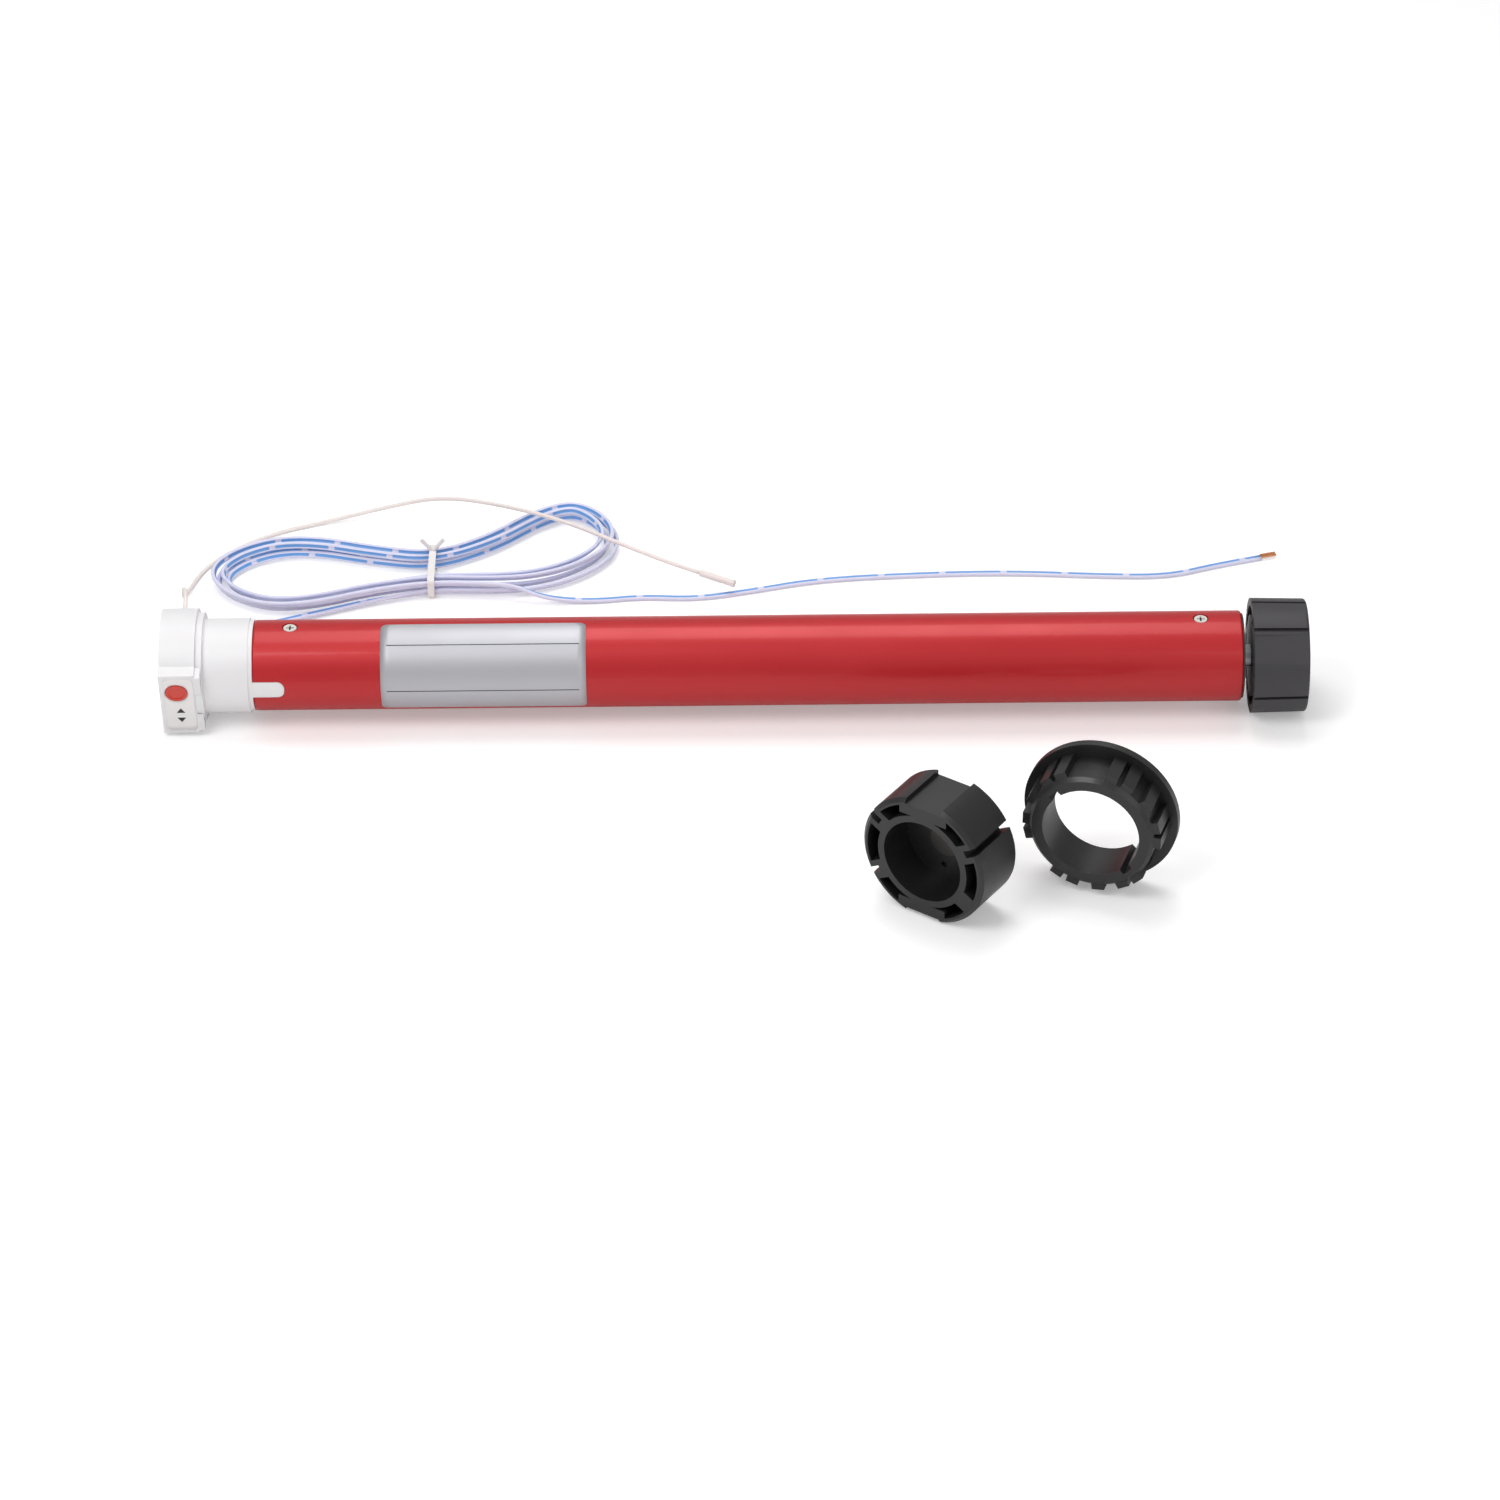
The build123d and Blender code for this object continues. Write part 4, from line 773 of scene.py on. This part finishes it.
@dataclass
class RatingPlate:
    """The silver plate wrapped round the tube, bare but for its two printed rules."""

    tube_radius: float = 12.5
    lift: float = 0.09
    ends: tuple[float, float] = (60.4, 116.8)
    arc: tuple[float, float] = (87.1, 219.6)
    corner: float = 2.0
    rule_ends: tuple[float, float] = (62.1, 114.9)
    rule_angles: tuple[float, float] = (122.4, 183.3)
    rule_width: float = 0.24
    rule_corner: float = 0.02
    rows: int = 60
    columns: int = 24
    corner_steps: int = 9

    def wrapped(self, name: str, ends: tuple[float, float], arc: tuple[float, float],
                corner: float, lift: float, finish: bpy.types.Material) -> None:
        """A patch of the tube's skin with rounded corners, given a little thickness.

        A row at a distance d from the nearer edge of the arc is drawn in at both ends by
        corner - sqrt(corner^2 - (corner - d)^2) while d is less than the corner's radius.

        Args:
            name: the piece's name.
            ends: its first and last X in millimetres.
            arc: its first and last angle about X, in degrees.
            corner: the corners' radius in millimetres.
            lift: how far it stands off the tube.
            finish: its material.
        """
        radius = self.tube_radius + lift
        low, high = (math.radians(angle) * radius for angle in arc)
        reach = min(corner, (high - low) / 2)
        turn = np.linspace(0, math.pi / 2, self.corner_steps)
        entry = reach * (1 - np.cos(turn))
        between = np.linspace(low + reach, high - reach, self.rows)[1:-1]
        rows = np.r_[low + entry, between, high - entry[::-1]]
        inset_from = np.minimum(np.minimum(rows - low, high - rows), reach)
        inset = reach - np.sqrt(np.maximum(reach ** 2 - (reach - inset_from) ** 2, 0))
        share = np.linspace(0, 1, self.columns)
        x = (ends[0] + inset)[:, None] * (1 - share) + (ends[1] - inset)[:, None] * share
        angle = np.repeat((rows / radius)[:, None], len(share), 1)
        places = np.stack([x, radius * np.cos(angle), radius * np.sin(angle)], -1) * MM
        faces = grid_faces(len(rows), len(share))
        piece = mesh_piece(name, places.reshape(-1, 3), faces, finish)
        lay_on(piece, lift - SKIN_GAP)

    def build(self, shop: Paintshop) -> None:
        """Wraps the plate and its rules.

        Args:
            shop: gives the finishes.
        """
        plate = shop.material(PLATE)
        self.wrapped("rating_plate", self.ends, self.arc, self.corner, self.lift, plate)
        for number, angle in enumerate(self.rule_angles):
            half = math.degrees(self.rule_width / 2 / self.tube_radius)
            self.wrapped(
                f"plate_rule_{number + 1}", self.rule_ends, (angle - half, angle + half),
                self.rule_corner, self.lift + PRINT_LIFT, shop.material(RULE),
            )


ARROW = ((-1.0, -0.6), (1.0, -0.6), (0.0, 0.9))


@dataclass
class ButtonLabel:
    """The white label on the head's block, with a hole for the button and two arrow marks."""

    angle: float = 193.3
    reach: float = 14.5
    centre_x: float = 5.3
    half_width: float = 4.1
    half_length: float = 10.3
    squareness: float = 12.0
    hole: tuple[float, float, float] = (4.6, -4.8, 3.25)
    lift: float = 0.09
    mark_place: tuple[float, float] = (4.2, 1.7)
    mark_size: float = 1.2
    around: int = 96
    steps_out: int = 8

    def on_face(self, flat: np.ndarray, lift: float) -> np.ndarray:
        """Puts rows of (X, way along the face) on the block's face, raised by the lift.

        Args:
            flat: the rows.
            lift: how far they stand off the face.

        Returns:
            Rows of X, Y, Z in metres.
        """
        turn = math.radians(self.angle)
        out = np.array((0, math.cos(turn), math.sin(turn)))
        along = np.array((0, -math.sin(turn), math.cos(turn)))
        level = np.array((1.0, 0, 0))
        return (flat[:, :1] * level + flat[:, 1:] * along + (self.reach + lift) * out) * MM

    def build(self, shop: Paintshop) -> None:
        """Makes the label: its points run from the hole's circle out to a rounded oblong.

        The oblong's reach in a direction is (|cos|^p + |sin|^p)^(-1/p) times its half size, and
        the higher the power p, the squarer its corners.

        Args:
            shop: gives the finishes.
        """
        turn = np.arange(self.around) / self.around * 2 * math.pi
        way = np.stack([np.cos(turn), np.sin(turn)], -1)
        circle = np.array(self.hole[:2]) + self.hole[2] * way
        stretch = (np.abs(way) ** self.squareness).sum(-1) ** (-1 / self.squareness)
        half_size = np.array((self.half_width, self.half_length))
        outline = np.array((self.centre_x, 0)) + half_size * stretch[:, None] * way
        share = np.linspace(0, 1, self.steps_out)[:, None, None]
        flat = (circle * (1 - share) + outline * share).reshape(-1, 2)
        faces = [face[::-1] for face in grid_faces(self.steps_out, self.around, True)]
        skin = self.on_face(flat, self.lift)
        piece = mesh_piece("button_label", skin, faces, shop.material(LABEL))
        lay_on(piece, self.lift - SKIN_GAP)
        for number, way in enumerate((1, -1)):
            place = np.array((self.centre_x, self.mark_place[0] + way * self.mark_place[1]))
            corners = np.array(ARROW) * self.mark_size * np.array((1, way))
            order = (0, 1, 2) if way < 0 else (0, 2, 1)
            raised = self.on_face(place + corners, self.lift + PRINT_LIFT)
            mark = mesh_piece(f"arrow_mark_{number + 1}", raised, [order], shop.material(RULE))
            lay_on(mark, self.lift - SKIN_GAP)


@dataclass
class PaintedScrewShade:
    """Painted shade at each of the four screws in the tube: a dark flat cross for the shade in the
    cross recess and a dark flat ring for the shade in the gap round the head.
    """

    places: tuple[float, ...] = (35.4, 285.8)
    recess_floor: float = 11.75
    half_length: float = 1.08
    half_width: float = 0.23
    gap_floor: float = 11.45
    gap: tuple[float, float] = (1.83, 2.07)
    lift: float = 0.06
    thickness: float = 0.04
    around: int = 48

    def build(self, shop: Paintshop) -> None:
        """Makes a flat cross and a flat ring of painted shade for each screw, above the axis and
        below it.

        Args:
            shop: gives the finishes.
        """
        far, near = self.half_length, self.half_width
        cross = [np.array([(far, -near), (far, near), (near, near)])]
        for _ in range(3):
            cross.append(cross[-1] @ np.array(((0, 1), (-1, 0))))
        cross = np.concatenate(cross)
        angle = np.arange(self.around) / self.around * 2 * math.pi
        way = np.stack([np.cos(angle), np.sin(angle)], -1)
        ring = np.concatenate([way * radius for radius in self.gap])
        flat = np.concatenate([cross, ring])
        height = np.r_[np.full(len(cross), self.recess_floor), np.full(len(ring), self.gap_floor)]
        height += self.lift
        faces = [tuple(range(len(cross)))]
        faces += [tuple(len(cross) + k for k in face) for face in grid_faces(2, self.around, True)]
        spots = [(x, side) for x in self.places for side in (1, -1)]
        for number, (x, side) in enumerate(spots, 1):
            points = np.stack([x + flat[:, 0], side * flat[:, 1], side * height], -1) * MM
            # Each piece is a dark sheet of painted shade in a screw's recess and round its head
            piece = mesh_piece(f"screw_painted_shade_{number}", points, faces, shop.material(PAINTED_SHADE))
            lay_on(piece, self.thickness)


@dataclass
class Studio:
    """A pale floor, soft light, and a camera at the photograph's angle.

    Lengths are in millimetres, the elevation in degrees and the roll in radians. Each lamp has
    its name, place, size and power in watts.
    """

    floor_z: float = -15.9
    floor_drop: float = 0.05
    floor_half: float = 4000.0
    floor_glow: float = 0.25
    surround: tuple[float, float] = (0.42, 1.0)
    aim_at: tuple[float, float, float] = (160, 0, 0)
    camera: tuple[float, float, float] = (161.55, -1258.6, 851.0)
    elevation: float = 35.0
    roll: float = 0.0099
    lens: float = 132.0
    lamps: tuple = (
        ("key", (-260, -420, 760), 420, 3.4),
        ("fill", (620, -620, 420), 520, 1.1),
        ("top", (160, 220, 620), 420, 2.0),
    )

    def build(self) -> None:
        """Sets the floor, the lamps, the world and the camera."""
        self.floor()
        for name, place, size, power in self.lamps:
            lamp = bpy.data.lights.new(name, "AREA")
            lamp.size, lamp.energy = size * MM, power
            holder = bpy.data.objects.new(name, lamp)
            holder.location = Vector(place) * MM
            aim = Vector(self.aim_at) * MM - holder.location
            holder.rotation_euler = aim.to_track_quat("-Z", "Y").to_euler()
            bpy.context.scene.collection.objects.link(holder)
        self.world()
        self.look()

    def floor(self) -> None:
        """A wide pale floor that keeps the object's shadow."""
        material = bpy.data.materials.new("pale_floor")
        material.use_nodes = True
        nodes, links = material.node_tree.nodes, material.node_tree.links
        shader = nodes["Principled BSDF"]
        shader.inputs["Base Color"].default_value = (0.9, 0.9, 0.9, 1)
        shader.inputs["Roughness"].default_value = 0.9
        shader.inputs["Specular IOR Level"].default_value = 0.1
        path = nodes.new("ShaderNodeLightPath")
        glow = nodes.new("ShaderNodeMath")
        glow.operation = "MULTIPLY"
        glow.inputs[1].default_value = self.floor_glow
        links.new(path.outputs["Is Camera Ray"], glow.inputs[0])
        shader.inputs["Emission Color"].default_value = (1, 1, 1, 1)
        links.new(glow.outputs[0], shader.inputs["Emission Strength"])
        half = self.floor_half * MM
        height = (self.floor_z - self.floor_drop) * MM
        square = ((-1, -1), (1, -1), (1, 1), (-1, 1))
        corners = np.array([(x * half, y * half, height) for x, y in square])
        mesh_piece("floor", corners, [(0, 1, 2, 3)], material)

    def world(self) -> None:
        """An even pale surround, white where the camera sees it."""
        world = bpy.data.worlds.new("surround")
        bpy.context.scene.world = world
        world.use_nodes = True
        nodes, links = world.node_tree.nodes, world.node_tree.links
        ground = nodes["Background"]
        ground.inputs["Color"].default_value = (1, 1, 1, 1)
        path = nodes.new("ShaderNodeLightPath")
        strength = nodes.new("ShaderNodeMapRange")
        strength.inputs["To Min"].default_value = self.surround[0]
        strength.inputs["To Max"].default_value = self.surround[1]
        links.new(path.outputs["Is Camera Ray"], strength.inputs["Value"])
        links.new(strength.outputs["Result"], ground.inputs["Strength"])

    def look(self) -> None:
        """Places the camera on the line of sight found from the photograph."""
        tilt = math.radians(self.elevation)
        level = Vector((1, 0, 0))
        upright = Vector((0, math.sin(tilt), math.cos(tilt)))
        right = level * math.cos(self.roll) - upright * math.sin(self.roll)
        up = upright * math.cos(self.roll) + level * math.sin(self.roll)
        camera = bpy.data.cameras.new("camera")
        camera.lens, camera.sensor_width = self.lens, 36.0
        camera.clip_start, camera.clip_end = 0.05, 20
        holder = bpy.data.objects.new("camera", camera)
        turn = Matrix((right, up, right.cross(up))).transposed()
        holder.matrix_world = Matrix.Translation(Vector(self.camera) * MM) @ turn.to_4x4()
        bpy.context.scene.collection.objects.link(holder)
        bpy.context.scene.camera = holder


def dress_nodes(shop: Paintshop) -> None:
    """Gives every carried-over solid its finish.

    Args:
        shop: gives the finishes.
    """
    for finish, names in NODE_FINISH.items():
        material = shop.material(finish)
        for name in names:
            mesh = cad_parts[name].data
            mesh.materials.clear()
            mesh.materials.append(material)


def main() -> None:
    """Builds the studio, the wiring, the plate and the label, and dresses the solids."""
    logging.basicConfig(level=logging.INFO, format="%(name)s: %(message)s")
    bpy.context.scene.view_settings.view_transform = "Standard"
    Studio().build()
    shop = Paintshop()
    Wiring().build(shop)
    RatingPlate().build(shop)
    ButtonLabel().build(shop)
    PaintedScrewShade().build(shop)
    dress_nodes(shop)


if __name__ == "__main__":
    main()
